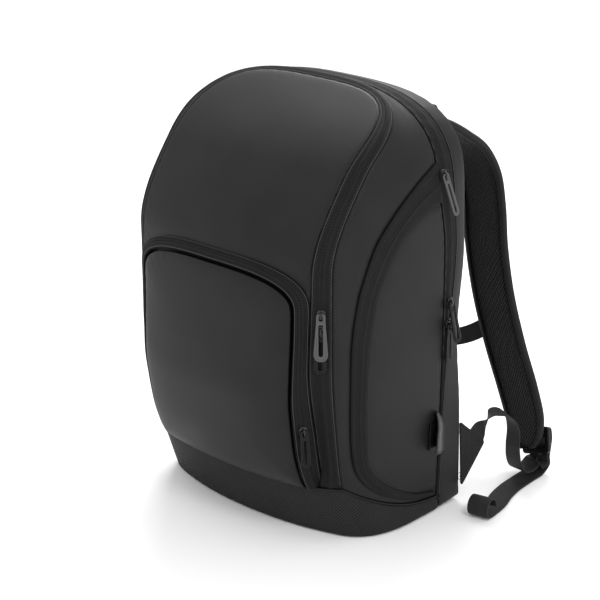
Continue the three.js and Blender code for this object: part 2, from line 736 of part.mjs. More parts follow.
// The padded back lies inside the gusset's rim and bulges behind it
function backPanel() {
  const loop = closedRim(SEAM.BACK);
  const normals = loopNormals(loop);
  const nest = SHELL_WALL + GAP;
  const rim = loop.map((point, j) => point.clone().addScaledVector(normals[j], nest));
  const centre = V(0, 0, BAG_HEIGHT * 0.46);
  const edge = SEAMS[SEAM.BACK];
  const rings = [0, 0.35, 0.65, 0.85, 0.95, 1];
  const outer = [];
  const inner = [];
  for (const ring of rings) {
    const bulge = BACK_PAD_CROWN * (1 - ring ** 10) ** 0.5;
    const row = rim.map((point) => {
      const x = lerp(centre.x, point.x, ring);
      const z = lerp(centre.z, point.z, ring);
      return V(x, edge.depthAt(z / (edge.top * BAG_HEIGHT)) + bulge, z);
    });
    outer.push(row);
    inner.push(row.map((point) => V(point.x, point.y - bulge + BACK_PAD_CROWN - BACK_PAD, point.z)));
  }
  return wall(outer, inner, true);
}

// The pocket
function pocketHalf(z, edge) {
  if (edge === 'outer') return halfWidthAt(SEAMS[0], z) - GAP;
  return halfWidthAt(SEAMS[0], Math.min(z, POCKET_SHOULDER)) * 0.35
    + 0.65 * halfWidthAt(SEAMS[0], POCKET_SHOULDER) - POCKET_TAPE;
}

function pocketOutline(edge) {
  const outline = [];
  const sideSteps = 6;
  const domeSteps = 8;
  const drop = edge === 'outer' ? 0 : POCKET_TAPE * 0.8;
  const shoulder = POCKET_SHOULDER - drop * 0.4;
  const top = POCKET_HEIGHT - drop;
  const footX = pocketHalf(BASE_HEIGHT, edge);
  const foot = baseSeamHeight(V(footX, -BAG_DEPTH, 0)) + SEAM_CLEARANCE * 2;
  for (let i = 0; i < sideSteps; i += 1) {
    const z = lerp(foot, shoulder, i / sideSteps);
    outline.push(V(pocketHalf(z, edge), 0, z));
  }
  for (let i = 0; i <= domeSteps; i += 1) {
    const angle = ((i / domeSteps) * Math.PI) / 2;
    const cos = Math.max(0, Math.cos(angle));
    const sin = Math.sin(angle);
    const size = (cos ** POCKET_ROUNDNESS + sin ** POCKET_ROUNDNESS) ** (1 / POCKET_ROUNDNESS);
    const x = (pocketHalf(shoulder, edge) * cos) / size;
    outline.push(V(x, 0, shoulder + ((top - shoulder) * sin) / size));
  }
  const left = outline.slice(0, -1).reverse().map((point) => V(-point.x, 0, point.z));
  return [...outline, ...left];
}

function pocketFront(x, z, rise) {
  return frontDepth(x, z) - pocketLift(z) - POCKET_CROWN * rise;
}

function pocketBand() {
  const outerEdge = pocketOutline('outer');
  const innerEdge = pocketOutline('inner');
  const last = outerEdge.length - 1;
  const rows = [[], [], []];
  const inner = [[], [], []];
  outerEdge.forEach((edge, j) => {
    const lip = innerEdge[j];
    const seat = V(edge.x, frontDepth(edge.x, edge.z) - 2 * GAP, edge.z);
    const rim = V(lip.x, pocketFront(lip.x, lip.z, 0), lip.z);
    const along = outerEdge[Math.min(last, j + 1)].clone().sub(outerEdge[Math.max(0, j - 1)]);
    const out = along.cross(rim.clone().sub(seat)).normalize();
    if (out.y > 0) out.negate();
    if (j === 0 || j === last) out.setZ(0).normalize();
    const middle = seat.clone().lerp(rim, 0.55).addScaledVector(out, POCKET_TAPE * 0.12);
    [seat, middle, rim].forEach((point, i) => {
      rows[i].push(point);
      inner[i].push(point.clone().addScaledVector(out, -POCKET_WALL));
    });
    const behind = inner[0][j];
    behind.y = Math.min(seat.y, frontDepth(behind.x, behind.z) - footFlare(behind.x, behind.z) - 2 * GAP);
  });
  return wall(rows, inner);
}

function pocketPanel() {
  const rim = pocketOutline('inner').map((point) => V(point.x, 0, point.z));
  const centre = V(0, 0, BAG_HEIGHT * 0.38);
  const footSteps = 10;
  const left = rim[rim.length - 1];
  for (let j = 1; j < footSteps; j += 1) {
    const x = left.x * (1 - (2 * j) / footSteps);
    rim.push(V(x, 0, baseSeamHeight(V(x, -BAG_DEPTH, 0)) + SEAM_CLEARANCE * 2));
  }
  const outer = [];
  const inner = [];
  const inset = 1 - (POCKET_WALL + 2 * GAP) / pocketHalf(POCKET_SHOULDER, 'inner');
  for (const ring of [0, 0.35, 0.65, 0.86, 0.96, 1]) {
    const row = rim.map((point) => {
      const x = lerp(centre.x, point.x * inset, ring);
      const z = lerp(centre.z, Math.min(point.z, lerp(centre.z, point.z, inset)), ring);
      return V(x, pocketFront(x, z, Math.sqrt(Math.max(0, 1 - ring ** 4))), z);
    });
    outer.push(row);
    inner.push(row.map((point) => point.clone().add(V(0, POCKET_WALL, 0))));
  }
  return wall(outer, inner, true);
}

// The side tape band lies on the side panel
function sideTape(side) {
  const steps = 26;
  const column = (key) => smoothCurve(SIDE_TAPE.map((row) => row[key]));
  const frontY = column('front_y');
  const frontZ = column('front_z');
  const rearY = column('rear_y');
  const rearZ = column('rear_z');
  const outer = [[], [], []];
  const inner = [[], [], []];
  for (let j = 0; j <= steps; j += 1) {
    const at = j / steps;
    for (const i of [0, 1, 2]) {
      const share = i / 2;
      const y = lerp(frontY(at), rearY(at), share) * BAG_DEPTH;
      const z = lerp(frontZ(at), rearZ(at), share) * BAG_HEIGHT;
      const { k, s } = placeOnSide(y, z, side);
      const kept = Math.min(k, SEAM.REAR_TAPE - 0.012);
      const point = hull(kept, s);
      const normal = hullNormal(kept, s, 0.1);
      outer[i].push(point.clone().addScaledVector(normal, GAP + TAPE_SEAT + TAPE_WALL * 0.6));
      inner[i].push(point.clone().addScaledVector(normal, GAP + TAPE_SEAT));
    }
  }
  return wall(outer, inner);
}

// A curve through values at even steps, for shares from 0 to 1
function smoothCurve(values) {
  const curve = new THREE.CatmullRomCurve3(values.map((value, i) => V(i / (values.length - 1), value, 0)));
  return (at) => curve.getPoint(at).y;
}

// Zip sliders and pulls: local x runs down the zip, y across it and z away from the tape
function sliderGeometry() {
  const plan = new THREE.Shape();
  const half = SLIDER_WIDTH / 2;
  const end = SLIDER_LENGTH / 2;
  plan.moveTo(-end, -half);
  plan.lineTo(end * 0.3, -half);
  plan.lineTo(end, -half * 0.66);
  plan.lineTo(end, half * 0.66);
  plan.lineTo(end * 0.3, half);
  plan.lineTo(-end, half);
  plan.closePath();
  const body = new THREE.ExtrudeGeometry(plan, { depth: SLIDER_THICKNESS, bevelEnabled: false });
  const arch = new THREE.Shape();
  const room = PULL_THICKNESS + 3 * GAP;
  const rise = SLIDER_THICKNESS + room + BRIDGE_WIRE;
  arch.moveTo(-4.6, SLIDER_THICKNESS - 1);
  arch.lineTo(4.6, SLIDER_THICKNESS - 1);
  arch.lineTo(4.6, rise - 1);
  arch.lineTo(3.6, rise);
  arch.lineTo(-3.4, rise);
  arch.lineTo(-4.6, rise - 1);
  arch.closePath();
  const eye = new THREE.Path();
  eye.moveTo(-3.3, SLIDER_THICKNESS);
  eye.lineTo(-3.3, SLIDER_THICKNESS + room);
  eye.lineTo(3.2, SLIDER_THICKNESS + room);
  eye.lineTo(3.2, SLIDER_THICKNESS);
  eye.closePath();
  arch.holes.push(eye);
  const bridge = new THREE.ExtrudeGeometry(arch, { depth: BRIDGE_WIDTH, bevelEnabled: false });
  bridge.rotateX(Math.PI / 2);
  bridge.translate(0, BRIDGE_WIDTH / 2, 0);
  return joined(body, bridge);
}

function pullGeometry(length, topWidth, endWidth, slotWidth) {
  const eyeEnd = 7.4;
  const round = endWidth * 0.34;
  const shape = new THREE.Shape();
  shape.moveTo(-PULL_BAR, -topWidth / 2 + 1);
  shape.lineTo(-PULL_BAR + 1, -topWidth / 2);
  shape.lineTo(eyeEnd, -topWidth / 2);
  shape.lineTo(length - round, -endWidth / 2);
  shape.quadraticCurveTo(length - 1, -endWidth / 2 + 1, length, -endWidth / 4);
  shape.lineTo(length, endWidth / 4);
  shape.quadraticCurveTo(length - 1, endWidth / 2 - 1, length - round, endWidth / 2);
  shape.lineTo(eyeEnd, topWidth / 2);
  shape.lineTo(-PULL_BAR + 1, topWidth / 2);
  shape.lineTo(-PULL_BAR, topWidth / 2 - 1);
  shape.closePath();
  const eye = new THREE.Path();
  const eyeHalf = BRIDGE_WIDTH / 2 + 0.9;
  eye.moveTo(0, -eyeHalf);
  eye.lineTo(0, eyeHalf);
  eye.lineTo(eyeEnd - 1.2, eyeHalf);
  eye.lineTo(eyeEnd - 1.2, -eyeHalf);
  eye.closePath();
  shape.holes.push(eye);
  const slot = new THREE.Path();
  slot.moveTo(eyeEnd + 2, -slotWidth / 2);
  slot.lineTo(eyeEnd + 2, slotWidth / 2);
  slot.lineTo(length - round - 1, slotWidth / 2);
  slot.lineTo(length - round + 1, 0);
  slot.lineTo(length - round - 1, -slotWidth / 2);
  slot.closePath();
  shape.holes.push(slot);
  return new THREE.ExtrudeGeometry(shape, { depth: PULL_THICKNESS, bevelEnabled: false, curveSegments: 4 });
}

// Where each slider sits: k on the shell, height as a share of the bag's and rise off the shell in
// mm; lean turns the pull across the tape and lift turns it away from the tape, in degrees
const SLIDERS = [
  { name: 'front_upper', k: 0.5, height: 0.5616, rise: 0, lean: 2, lift: 9.5, length: 47, width: 15, slot: 5.4,
    pull: PULL_RUBBER },
  { name: 'front_lower', k: 0.5, height: 0.5248, rise: 0, lean: 0, lift: -2.5, length: 46, width: 14, slot: 5,
    pull: BLACK_PLASTIC },
  { name: 'rear_top', k: 2.12, height: 0.8186, rise: 2.2, lean: 8, lift: 4, length: 45, width: 9, slot: 3.6,
    pull: PULL_RUBBER },
  { name: 'rear_mid', k: 2.5, height: 0.514, rise: 0, lean: 3, lift: 14, length: 43, width: 12, slot: 5,
    pull: BLACK_PLASTIC },
  { name: 'rear_low', k: 2.5, height: 0.4644, rise: 0, lean: 5, lift: -1.5, length: 42, width: 11, slot: 4,
    pull: BLACK_PLASTIC },
];

function addSlider({ name, rise, lean, lift, length, width, slot, pull }, point, down, out) {
  const across = out.clone().cross(down).normalize();
  const seat = point.clone().addScaledVector(out, GAP + rise);
  addPiece(`${name}_slider`, placed(sliderGeometry(), down, across, out, seat), DULL_METAL);
  const leaned = down.clone().applyAxisAngle(out, THREE.MathUtils.degToRad(lean));
  const side = out.clone().cross(leaned).normalize();
  const raised = leaned.clone().applyAxisAngle(side, -THREE.MathUtils.degToRad(lift));
  const face = raised.clone().cross(side).normalize();
  const dip = PULL_BAR * Math.sin(THREE.MathUtils.degToRad(Math.max(0, lift)));
  const eye = seat.clone().addScaledVector(out, SLIDER_THICKNESS + GAP + dip)
    .addScaledVector(down, lift > 0 ? -0.9 : 0.4);
  const shape = pullGeometry(length, Math.min(width, 9.5), width, slot);
  addPiece(`${name}_pull`, placed(shape, raised, side, face, eye), pull);
}

function addSliders() {
  for (const row of SLIDERS) {
    const s = climbTo(row.k, row.height * BAG_HEIGHT);
    const point = hull(row.k, s);
    const down = hull(row.k, s - 0.01).sub(hull(row.k, s + 0.01)).normalize();
    const out = hullNormal(row.k, s, 0.2);
    out.addScaledVector(down, -out.dot(down)).normalize();
    addSlider(row, point, down, out);
  }
}

// The pocket's slider sits on the side of its tape band
function addPocketSlider() {
  const height = POCKET_HEIGHT * 0.434;
  const at = (z) => {
    const outer = V(pocketHalf(z, 'outer'), frontDepth(pocketHalf(z, 'outer'), z) - GAP, z);
    const inner = V(pocketHalf(z, 'inner'), pocketFront(pocketHalf(z, 'inner'), z, 0), z);
    return { middle: outer.clone().lerp(inner, 0.55).add(V(0, -1.2, 0)), across: inner.sub(outer) };
  };
  const { middle, across } = at(height);
  const down = at(height - 6).middle.sub(at(height + 6).middle).normalize();
  const out = across.clone().cross(down).normalize();
  if (out.y > 0) out.negate();
  const seat = middle.addScaledVector(out, 1);
  const row = { name: 'pocket', rise: 0, lean: -4, lift: 3, length: 41, width: 11, slot: 3.6 };
  addSlider({ ...row, pull: BLACK_PLASTIC }, seat, down, out);
}

// Cable port: a plate under a hood that is sewn down along its rear edge and top and open towards
// the front and below
function usbHood() {
  const outer = [];
  const inner = [];
  for (const row of HOOD_LINE) {
    const z = HOOD_FOOT + row.up * HOOD_LENGTH;
    const rowOuter = [];
    const rowInner = [];
    for (const { share, swell } of [{ share: 0, swell: 0 }, { share: 0.3, swell: 0.5 },
      { share: 0.75, swell: 0.93 }, { share: 1, swell: 1 }]) {
      const y = HOOD_FRONT + HOOD_WIDTH * lerp(row.rear, row.free, share);
      const { k, s } = placeOnSide(y, z, 1);
      const out = hullNormal(k, s, 0.1);
      const rise = 2 * GAP + HOOD_WALL + row.rise * swell * (HOOD_RISE - HOOD_WALL);
      const point = hull(k, s).setY(y).addScaledVector(out, rise);
      rowOuter.push(point);
      rowInner.push(point.clone().addScaledVector(out, -HOOD_WALL));
    }
    outer.push(rowOuter);
    inner.push(rowInner);
  }
  return wall(outer, inner);
}

function usbPort() {
  const y = HOOD_FRONT + PORT_WIDTH / 2;
  const { k, s } = placeOnSide(y, HOOD_FOOT + PORT_LENGTH / 2 + 1, 1);
  const out = hullNormal(k, s, 0.1);
  const back = UP.clone().cross(out).normalize();
  const seat = hull(k, s).addScaledVector(out, PORT_THICKNESS / 2 + 2 * GAP);
  const plate = new THREE.BoxGeometry(PORT_THICKNESS, PORT_WIDTH, PORT_LENGTH);
  return placed(plate, out, back, out.clone().cross(back).normalize(), seat);
}

// Straps
function padCurve() {
  const points = PAD_LINE.map((row) => (
    V(row.across * BAG_WIDTH, row.behind * STRAP_REACH, row.height * BAG_HEIGHT)));
  points[0].y = backFace(points[0].z) + 2 * GAP + YOKE_THICKNESS + PAD_THICKNESS * 0.16;
  return new THREE.CatmullRomCurve3(points);
}

function shoulderPad() {
  const curve = padCurve();
  const widths = smoothCurve(PAD_LINE.map((row) => row.width * PAD_WIDTH));
  const steps = 30;
  const sections = [];
  for (let i = 0; i <= steps; i += 1) {
    const at = i / steps;
    const centre = curve.getPoint(at);
    const along = curve.getTangent(at);
    const side = RIGHT.clone().addScaledVector(along, -RIGHT.dot(along)).normalize();
    const face = along.clone().cross(side).normalize();
    const half = widths(at) / 2;
    const thick = (PAD_THICKNESS / 2) * (i === 0 || i === steps ? 0.55 : 1);
    const halfRing = [[-1, -0.3], [-0.86, -1], [0.86, -1], [1, -0.3]];
    const ring = [...halfRing, ...halfRing.map(([a, b]) => [-a, -b])];
    sections.push(ring.map(([a, b]) => centre.clone().addScaledVector(side, a * half)
      .addScaledVector(face, b * thick)));
  }
  return loft(sections);
}

// The wing is a doubled triangle sewn into the rear seam
function wingCorners() {
  const edge = seamPoint(SEAM.BACK, 0);
  const seat = edge.y + 4 * GAP;
  return {
    top: V(edge.x - WING_THICKNESS / 2, seat, 0.194 * BAG_HEIGHT),
    tip: V(edge.x + 2 * WING_THICKNESS, seat + WING_REACH, 0.13 * BAG_HEIGHT),
    foot: V(edge.x + WING_THICKNESS / 3, seat + WING_THICKNESS / 2, 0.037 * BAG_HEIGHT),
  };
}

function anchorWing() {
  const { top, tip, foot } = wingCorners();
  const face = tip.clone().sub(top).cross(foot.clone().sub(top)).normalize();
  const blunt = tip.clone().lerp(foot, 0.05);
  const corners = [top, tip.clone().lerp(top, 0.03), blunt, foot];
  const shift = (amount) => corners.map((corner) => corner.clone().addScaledVector(face, amount));
  return loft([shift(-WING_THICKNESS / 2), shift(WING_THICKNESS / 2)]);
}

function adjusterWebbing() {
  const { top, tip } = wingCorners();
  const lock = lockPlace();
  const edge = top.clone().sub(tip).normalize();
  const root = tip.clone().addScaledVector(edge, WEBBING_WIDTH * 0.56);
  const lift = V(0, edge.z, -edge.y).normalize();
  const points = [0.5, 9].map((rise) => root.clone().addScaledVector(lift, rise));
  const widths = [edge.clone(), edge.clone().lerp(RIGHT, 0.15)];
  WEBBING_LINE.forEach((row, i) => {
    points.push(V((row.across * BAG_WIDTH) / 2, row.behind * STRAP_REACH, row.height * BAG_HEIGHT));
    const broad = RIGHT.clone().applyAxisAngle(UP, THREE.MathUtils.degToRad(-row.turn));
    const turned = edge.clone().lerp(broad, clamp(0.6 + 0.4 * i, 0, 1));
    widths.push(turned.lerp(lock.across, clamp((i - 7) / 3, 0, 1)));
  });
  const surface = LOCK_THICKNESS / 2 + WEBBING_THICKNESS / 2 + GAP * 1.6;
  for (const { climb, rise } of THREADING) {
    points.push(lock.point.clone().addScaledVector(lock.up, (climb * LOCK_LENGTH) / 2)
      .addScaledVector(lock.out, surface + rise));
  }
  while (widths.length < points.length) widths.push(lock.across.clone());
  const floor = WEBBING_THICKNESS / 2 + 0.1;
  const heading = V(0.2, -1, 0).normalize();
  const level = heading.clone().cross(UP).negate();
  for (const row of TAIL_LINE) {
    points.push(V((row.across * BAG_WIDTH) / 2, row.behind * STRAP_REACH, floor + row.rise));
    widths.push(level.clone());
  }
  const centre = points[points.length - 1].clone().addScaledVector(heading, ROLL_RADIUS * 0.76)
    .setZ(floor + ROLL_RADIUS);
  const turns = 7;
  for (let i = 1; i <= turns; i += 1) {
    const angle = THREE.MathUtils.degToRad(-90 + i * 40);
    const flatter = i === turns ? 0.6 : 1;
    points.push(centre.clone().addScaledVector(heading, Math.cos(angle) * ROLL_RADIUS)
      .add(V(0, 0, Math.sin(angle) * ROLL_RADIUS * flatter)));
    widths.push(level.clone());
  }
  const path = new THREE.CatmullRomCurve3(points, false, 'centripetal');
  const sides = new THREE.CatmullRomCurve3(widths, false, 'centripetal');
  const count = (points.length - 1) * 2;
  const line = [];
  const across = [];
  for (let i = 0; i <= count; i += 1) {
    const at = i / count;
    const place = path.getPoint(at);
    place.z = Math.max(place.z, floor);
    line.push(place);
    across.push(sides.getPoint(at).normalize());
  }
  return strip(line, across, WEBBING_WIDTH, WEBBING_THICKNESS);
}

// The lock lies on the outer face of the pad's tip
function lockPlace() {
  const curve = padCurve();
  const along = curve.getTangent(LOCK_AT);
  const across = RIGHT.clone().addScaledVector(along, -RIGHT.dot(along)).normalize();
  const up = along.clone().negate();
  const out = across.clone().cross(up).normalize();
  if (out.y < 0) out.negate();
  const point = curve.getPoint(LOCK_AT).addScaledVector(across, LOCK_SHIFT)
    .addScaledVector(out, PAD_THICKNESS / 2 + LOCK_THICKNESS / 2 + GAP);
  return { point, across, up, out };
}

function ladderLock() {
  const frame = new THREE.Shape();
  const half = LOCK_WIDTH / 2;
  const end = LOCK_LENGTH / 2;
  frame.moveTo(-half, -end + 2);
  frame.lineTo(-half + 2, -end);
  frame.lineTo(half - 2, -end);
  frame.lineTo(half, -end + 2);
  frame.lineTo(half, end - 2);
  frame.lineTo(half - 2, end);
  frame.lineTo(-half + 2, end);
  frame.lineTo(-half, end - 2);
  frame.closePath();
  const room = WEBBING_WIDTH / 2 + 1;
  const window = new THREE.Path();
  window.moveTo(-room, -end + LOCK_BAR);
  window.lineTo(-room, end - LOCK_BAR);
  window.lineTo(room, end - LOCK_BAR);
  window.lineTo(room, -end + LOCK_BAR);
  window.closePath();
  frame.holes.push(window);
  const rim = new THREE.ExtrudeGeometry(frame, { depth: LOCK_THICKNESS, bevelEnabled: false });
  rim.translate(0, 0, -LOCK_THICKNESS / 2);
  const bar = new THREE.BoxGeometry(2 * room + 1, LOCK_BAR, LOCK_THICKNESS * 0.42);
  bar.translate(0, 0, LOCK_THICKNESS * 0.29);
  const geometry = joined(rim, bar);
  const { point, up, out } = lockPlace();
  return placed(geometry, up.clone().cross(out).normalize(), up, out, point);
}

function sternumLine(x) {
  const reach = 0.24 * BAG_WIDTH;
  const behind = STRAP_REACH + PAD_THICKNESS / 2 + WEBBING_THICKNESS / 2 + GAP;
  return V(x, behind, STERNUM_HEIGHT + STERNUM_SAG * (x / reach) ** 2);
}

function sternumStrap() {
  const from = BUCKLE_WIDTH / 2 + 2.9;
  const to = 0.318 * BAG_WIDTH;
  const points = [];
  const widths = [];
  for (let i = 0; i <= 8; i += 1) {
    points.push(sternumLine(lerp(from, to, i / 8)));
    widths.push(UP.clone());
  }
  return strip(points, widths, STERNUM_WIDTH, WEBBING_THICKNESS);
}

function sternumBuckle() {
  const outline = new THREE.Shape();
  const right = [[0.62, -1], [1, -0.8], [1, 0.8], [0.62, 1]];
  const corners = [...right, ...right.map(([a, b]) => [-a, -b])];
  corners.forEach(([a, b], i) => {
    const corner = [(a * BUCKLE_WIDTH) / 2, (b * BUCKLE_HEIGHT) / 2];
    if (i === 0) outline.moveTo(...corner);
    else outline.lineTo(...corner);
  });
  outline.closePath();
  const geometry = new THREE.ExtrudeGeometry(outline, { depth: BUCKLE_THICKNESS, bevelEnabled: false });
  geometry.translate(0, 0, -BUCKLE_THICKNESS / 2);
  return placed(geometry, RIGHT, UP, V(0, -1, 0), sternumLine(0));
}

// Depth of the padded back at its middle; its facets lie a little inside the curve
function backFace(z) {
  const edge = SEAMS[SEAM.BACK];
  const facetSag = 0.68;
  return edge.depthAt(z / (edge.top * BAG_HEIGHT)) + BACK_PAD_CROWN - facetSag;
}

function strapYoke() {
  const plate = new THREE.BoxGeometry(YOKE_WIDTH, YOKE_THICKNESS, YOKE_HEIGHT);
  plate.translate(0, backFace(YOKE_MIDDLE) + GAP + YOKE_THICKNESS / 2, YOKE_MIDDLE);
  return plate;
}

function haulLoop() {
  const face = backFace(YOKE_MIDDLE) + YOKE_THICKNESS + 2.5 * GAP;
  const points = [];
  const widths = [];
  for (let i = 0; i <= 12; i += 1) {
    const angle = (i / 12) * Math.PI;
    const rise = Math.sin(angle) ** 0.7 * HAUL_RISE;
    points.push(V(-Math.cos(angle) * (HAUL_SPAN / 2), face + rise, YOKE_MIDDLE));
    widths.push(UP.clone());
  }
  return strip(points, widths, WEBBING_WIDTH, HAUL_THICKNESS);
}

// The whole bag
addPiece('base_boot', baseBoot(), BASE_CLOTH);
addPiece('front_panel', frontPanel(), SHELL_CLOTH);
addPiece('front_zip_band', panelBetween(SEAM.FRONT_TAPE, SEAM.SIDE, 1, SHELL_WALL), ZIP_TAPE);
addPiece('main_panel', panelBetween(SEAM.SIDE, SEAM.REAR_TAPE, 6, SHELL_WALL), SHELL_CLOTH);
addPiece('rear_zip_band', panelBetween(SEAM.REAR_TAPE, SEAM.GUSSET, 1, SHELL_WALL), ZIP_TAPE);
addPiece('rear_gusset', rearGusset(), SHELL_CLOTH);
addPiece('back_panel', backPanel(), AIR_MESH);
addPiece('pocket_zip_band', pocketBand(), ZIP_TAPE);
addPiece('pocket_panel', pocketPanel(), SHELL_CLOTH);
addPiece('side_zip_band_right', sideTape(1), ZIP_TAPE);
addPiece('side_zip_band_left', sideTape(-1), ZIP_TAPE);
addPiece('usb_hood', usbHood(), HOOD_LEATHER);
addPiece('usb_port', usbPort(), BLACK_PLASTIC);
addSliders();
addPocketSlider();

const rightPieces = [
  ['shoulder_pad', shoulderPad(), AIR_MESH],
  ['anchor_wing', anchorWing(), BASE_CLOTH],
  ['adjuster_webbing', adjusterWebbing(), WEBBING],
  ['ladder_lock', ladderLock(), BLACK_PLASTIC],
  ['sternum_strap', sternumStrap(), WEBBING],
];
for (const [name, geometry, material] of rightPieces) {
  const indexed = geometry.getIndex() ? geometry : mergeVertices(geometry);
  addPiece(`${name}_right`, indexed, material);
  addPiece(`${name}_left`, mirrored(indexed), material);
}
addPiece('sternum_buckle', sternumBuckle(), BLACK_PLASTIC);
addPiece('strap_yoke', strapYoke(), SHELL_CLOTH);
addPiece('haul_loop', haulLoop(), WEBBING);

export default backpack;
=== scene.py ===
# %% [markdown]
# # A laptop backpack in cloth, mesh and webbing
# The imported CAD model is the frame: it says where every panel, strap and slider sits. This file
# dresses it. Each cloth panel is built again with a finer surface, and gets rolled seams, stitches,
# zip coils and a woven material. Everything is in metres, with the bag's front towards -Y.

# %% Load the frame
import math
import bmesh
import bpy
import numpy as np
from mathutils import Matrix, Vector, noise


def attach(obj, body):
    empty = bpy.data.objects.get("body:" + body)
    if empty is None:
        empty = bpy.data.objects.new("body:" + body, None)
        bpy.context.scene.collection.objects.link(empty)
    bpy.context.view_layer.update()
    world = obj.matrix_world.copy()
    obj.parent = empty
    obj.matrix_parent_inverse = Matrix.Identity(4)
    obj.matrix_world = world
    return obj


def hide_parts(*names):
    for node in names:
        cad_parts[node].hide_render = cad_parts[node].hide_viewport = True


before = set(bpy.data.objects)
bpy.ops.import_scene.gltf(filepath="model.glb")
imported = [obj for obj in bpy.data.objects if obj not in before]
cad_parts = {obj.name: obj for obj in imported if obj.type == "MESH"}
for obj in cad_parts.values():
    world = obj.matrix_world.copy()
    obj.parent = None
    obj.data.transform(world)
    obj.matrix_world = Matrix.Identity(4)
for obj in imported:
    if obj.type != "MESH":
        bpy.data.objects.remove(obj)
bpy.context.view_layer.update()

# %% [markdown]
# ## Camera, light and floor
# The camera stands where the photographer stood: to the right of the front and a little above, far
# enough away that the perspective is weak. A long lens brings the bag up to the frame's height.

# %% Camera
CAMERA_TURN = math.radians(44.36)
CAMERA_RISE = math.radians(19.2)
CAMERA_DISTANCE = 2.1327
CAMERA_LENS = 117.04
AIM = Vector((-0.01324, 0, 0.21034))
away = Vector((math.sin(CAMERA_TURN) * math.cos(CAMERA_RISE),
               -math.cos(CAMERA_TURN) * math.cos(CAMERA_RISE), math.sin(CAMERA_RISE)))
camera = bpy.data.objects.new("camera", bpy.data.cameras.new("camera"))
camera.data.lens = CAMERA_LENS
camera.location = AIM + away * CAMERA_DISTANCE
camera.rotation_euler = (-away).to_track_quat("-Z", "Y").to_euler()
bpy.context.scene.collection.objects.link(camera)
bpy.context.scene.camera = camera

# %% [markdown]
# Black cloth is drawn by its highlights. A wide soft light overhead gives the pale sheen on the
# dome, a second one from the camera's right fills the side, and a pale world does the rest.

# %% Lights, world and floor
def soft_light(name, place, target, width, height, watts):
    light = bpy.data.lights.new(name, "AREA")
    light.shape = "RECTANGLE"
    light.size, light.size_y, light.energy = width, height, watts
    lamp = bpy.data.objects.new(name, light)
    lamp.location = place
    lamp.rotation_euler = (Vector(target) - Vector(place)).to_track_quat("-Z", "Y").to_euler()
    bpy.context.scene.collection.objects.link(lamp)


soft_light("overhead", (-0.8, 1.0, 1.6), (0, 0, 0.3), 1.1, 0.7, 26)
soft_light("right_side", (1.6, -0.5, 1.6), (0, 0, 0.3), 0.6, 0.8, 12)

world = bpy.data.worlds.new("pale_room")
world.use_nodes = True
world.node_tree.nodes["Background"].inputs["Color"].default_value = (1, 1, 1, 1)
world.node_tree.nodes["Background"].inputs["Strength"].default_value = 1.06
bpy.context.scene.world = world
bpy.context.scene.view_settings.view_transform = "Standard"

floor = bpy.data.objects.new("floor", bpy.data.meshes.new("floor"))
floor.data.from_pydata([(-6, -6, -0.0005), (6, -6, -0.0005), (6, 6, -0.0005), (-6, 6, -0.0005)], [],
                       [(0, 1, 2, 3)])
bpy.context.scene.collection.objects.link(floor)

# %% [markdown]
# ## Sizes
# These are the CAD model's own sizes, so the fine panels lie exactly on the coarse ones. The seams
# run up one side, over the top and down the other; each row gives one seam, front to back.

# %% Named sizes
MM = 0.001
GAP = 0.3 * MM
BAG_WIDTH = 319 * MM
BAG_HEIGHT = 463 * MM
BAG_DEPTH = 200 * MM
SHELL_WALL = 3 * MM
TAPE_WALL = 2 * MM
TAPE_SEAT = 0.5 * MM
POCKET_WALL = 2 * MM
BASE_WALL = 2.6 * MM
BASE_HEIGHT = 56 * MM
BASE_CORNER_RISE = 5.5 * MM
BASE_ROUND = 5 * MM
FOOT_SETBACK, FOOT_BOW = 12 * MM, 19 * MM
FOOT_CUT, FOOT_REACH, FOOT_SPREAD = 18 * MM, 80 * MM, 4 * MM
FRONT_CROWN = 10 * MM
BACK_PAD = 11 * MM
BACK_PAD_CROWN = 9 * MM
POCKET_HEIGHT = 304 * MM
POCKET_SHOULDER = 262 * MM
POCKET_ROUNDNESS = 2.8
POCKET_TAPE = 12 * MM
POCKET_CROWN = 7 * MM
SIDE_SHARE = 0.5
HEIGHT_STEPS = [0, 0.25, 0.45, 0.65, 0.85, 1]
FRONT_TAPE, SIDE, REAR_TAPE, GUSSET, BACK = range(5)
SEAMS = [
    dict(half=0.795, foot_half=0.687, top=0.995, shoulder=0.88, round=3.4, foot=0.134,
         depths=[-0.39, -0.552, -0.634, -0.632, -0.408, 0.056]),
    dict(half=0.899, foot_half=0.861, top=1, shoulder=0.88, round=2.67, foot=0.134,
         depths=[-0.393, -0.514, -0.56, -0.567, -0.335, 0.122]),
    dict(half=1, foot_half=0.976, top=0.992, shoulder=0.78, round=2.62, foot=0.037,
         depths=[0.19, 0.198, 0.2, 0.195, 0.129, 0.162]),
    dict(half=0.998, foot_half=0.97, top=0.988, shoulder=0.77, round=2.8, foot=0.026,
         depths=[0.212, 0.217, 0.243, 0.283, 0.246, 0.243]),
    dict(half=0.98, foot_half=0.963, top=0.976, shoulder=0.77, round=3.1, foot=0.03,
         depths=[0.393, 0.373, 0.335, 0.37, 0.357, 0.357]),
]
POCKET_LIFT = [(0.19, 15), (0.25, 20), (0.34, 22), (0.5, 18.5), (0.66, 11), (0.82, 9), (1, 9)]
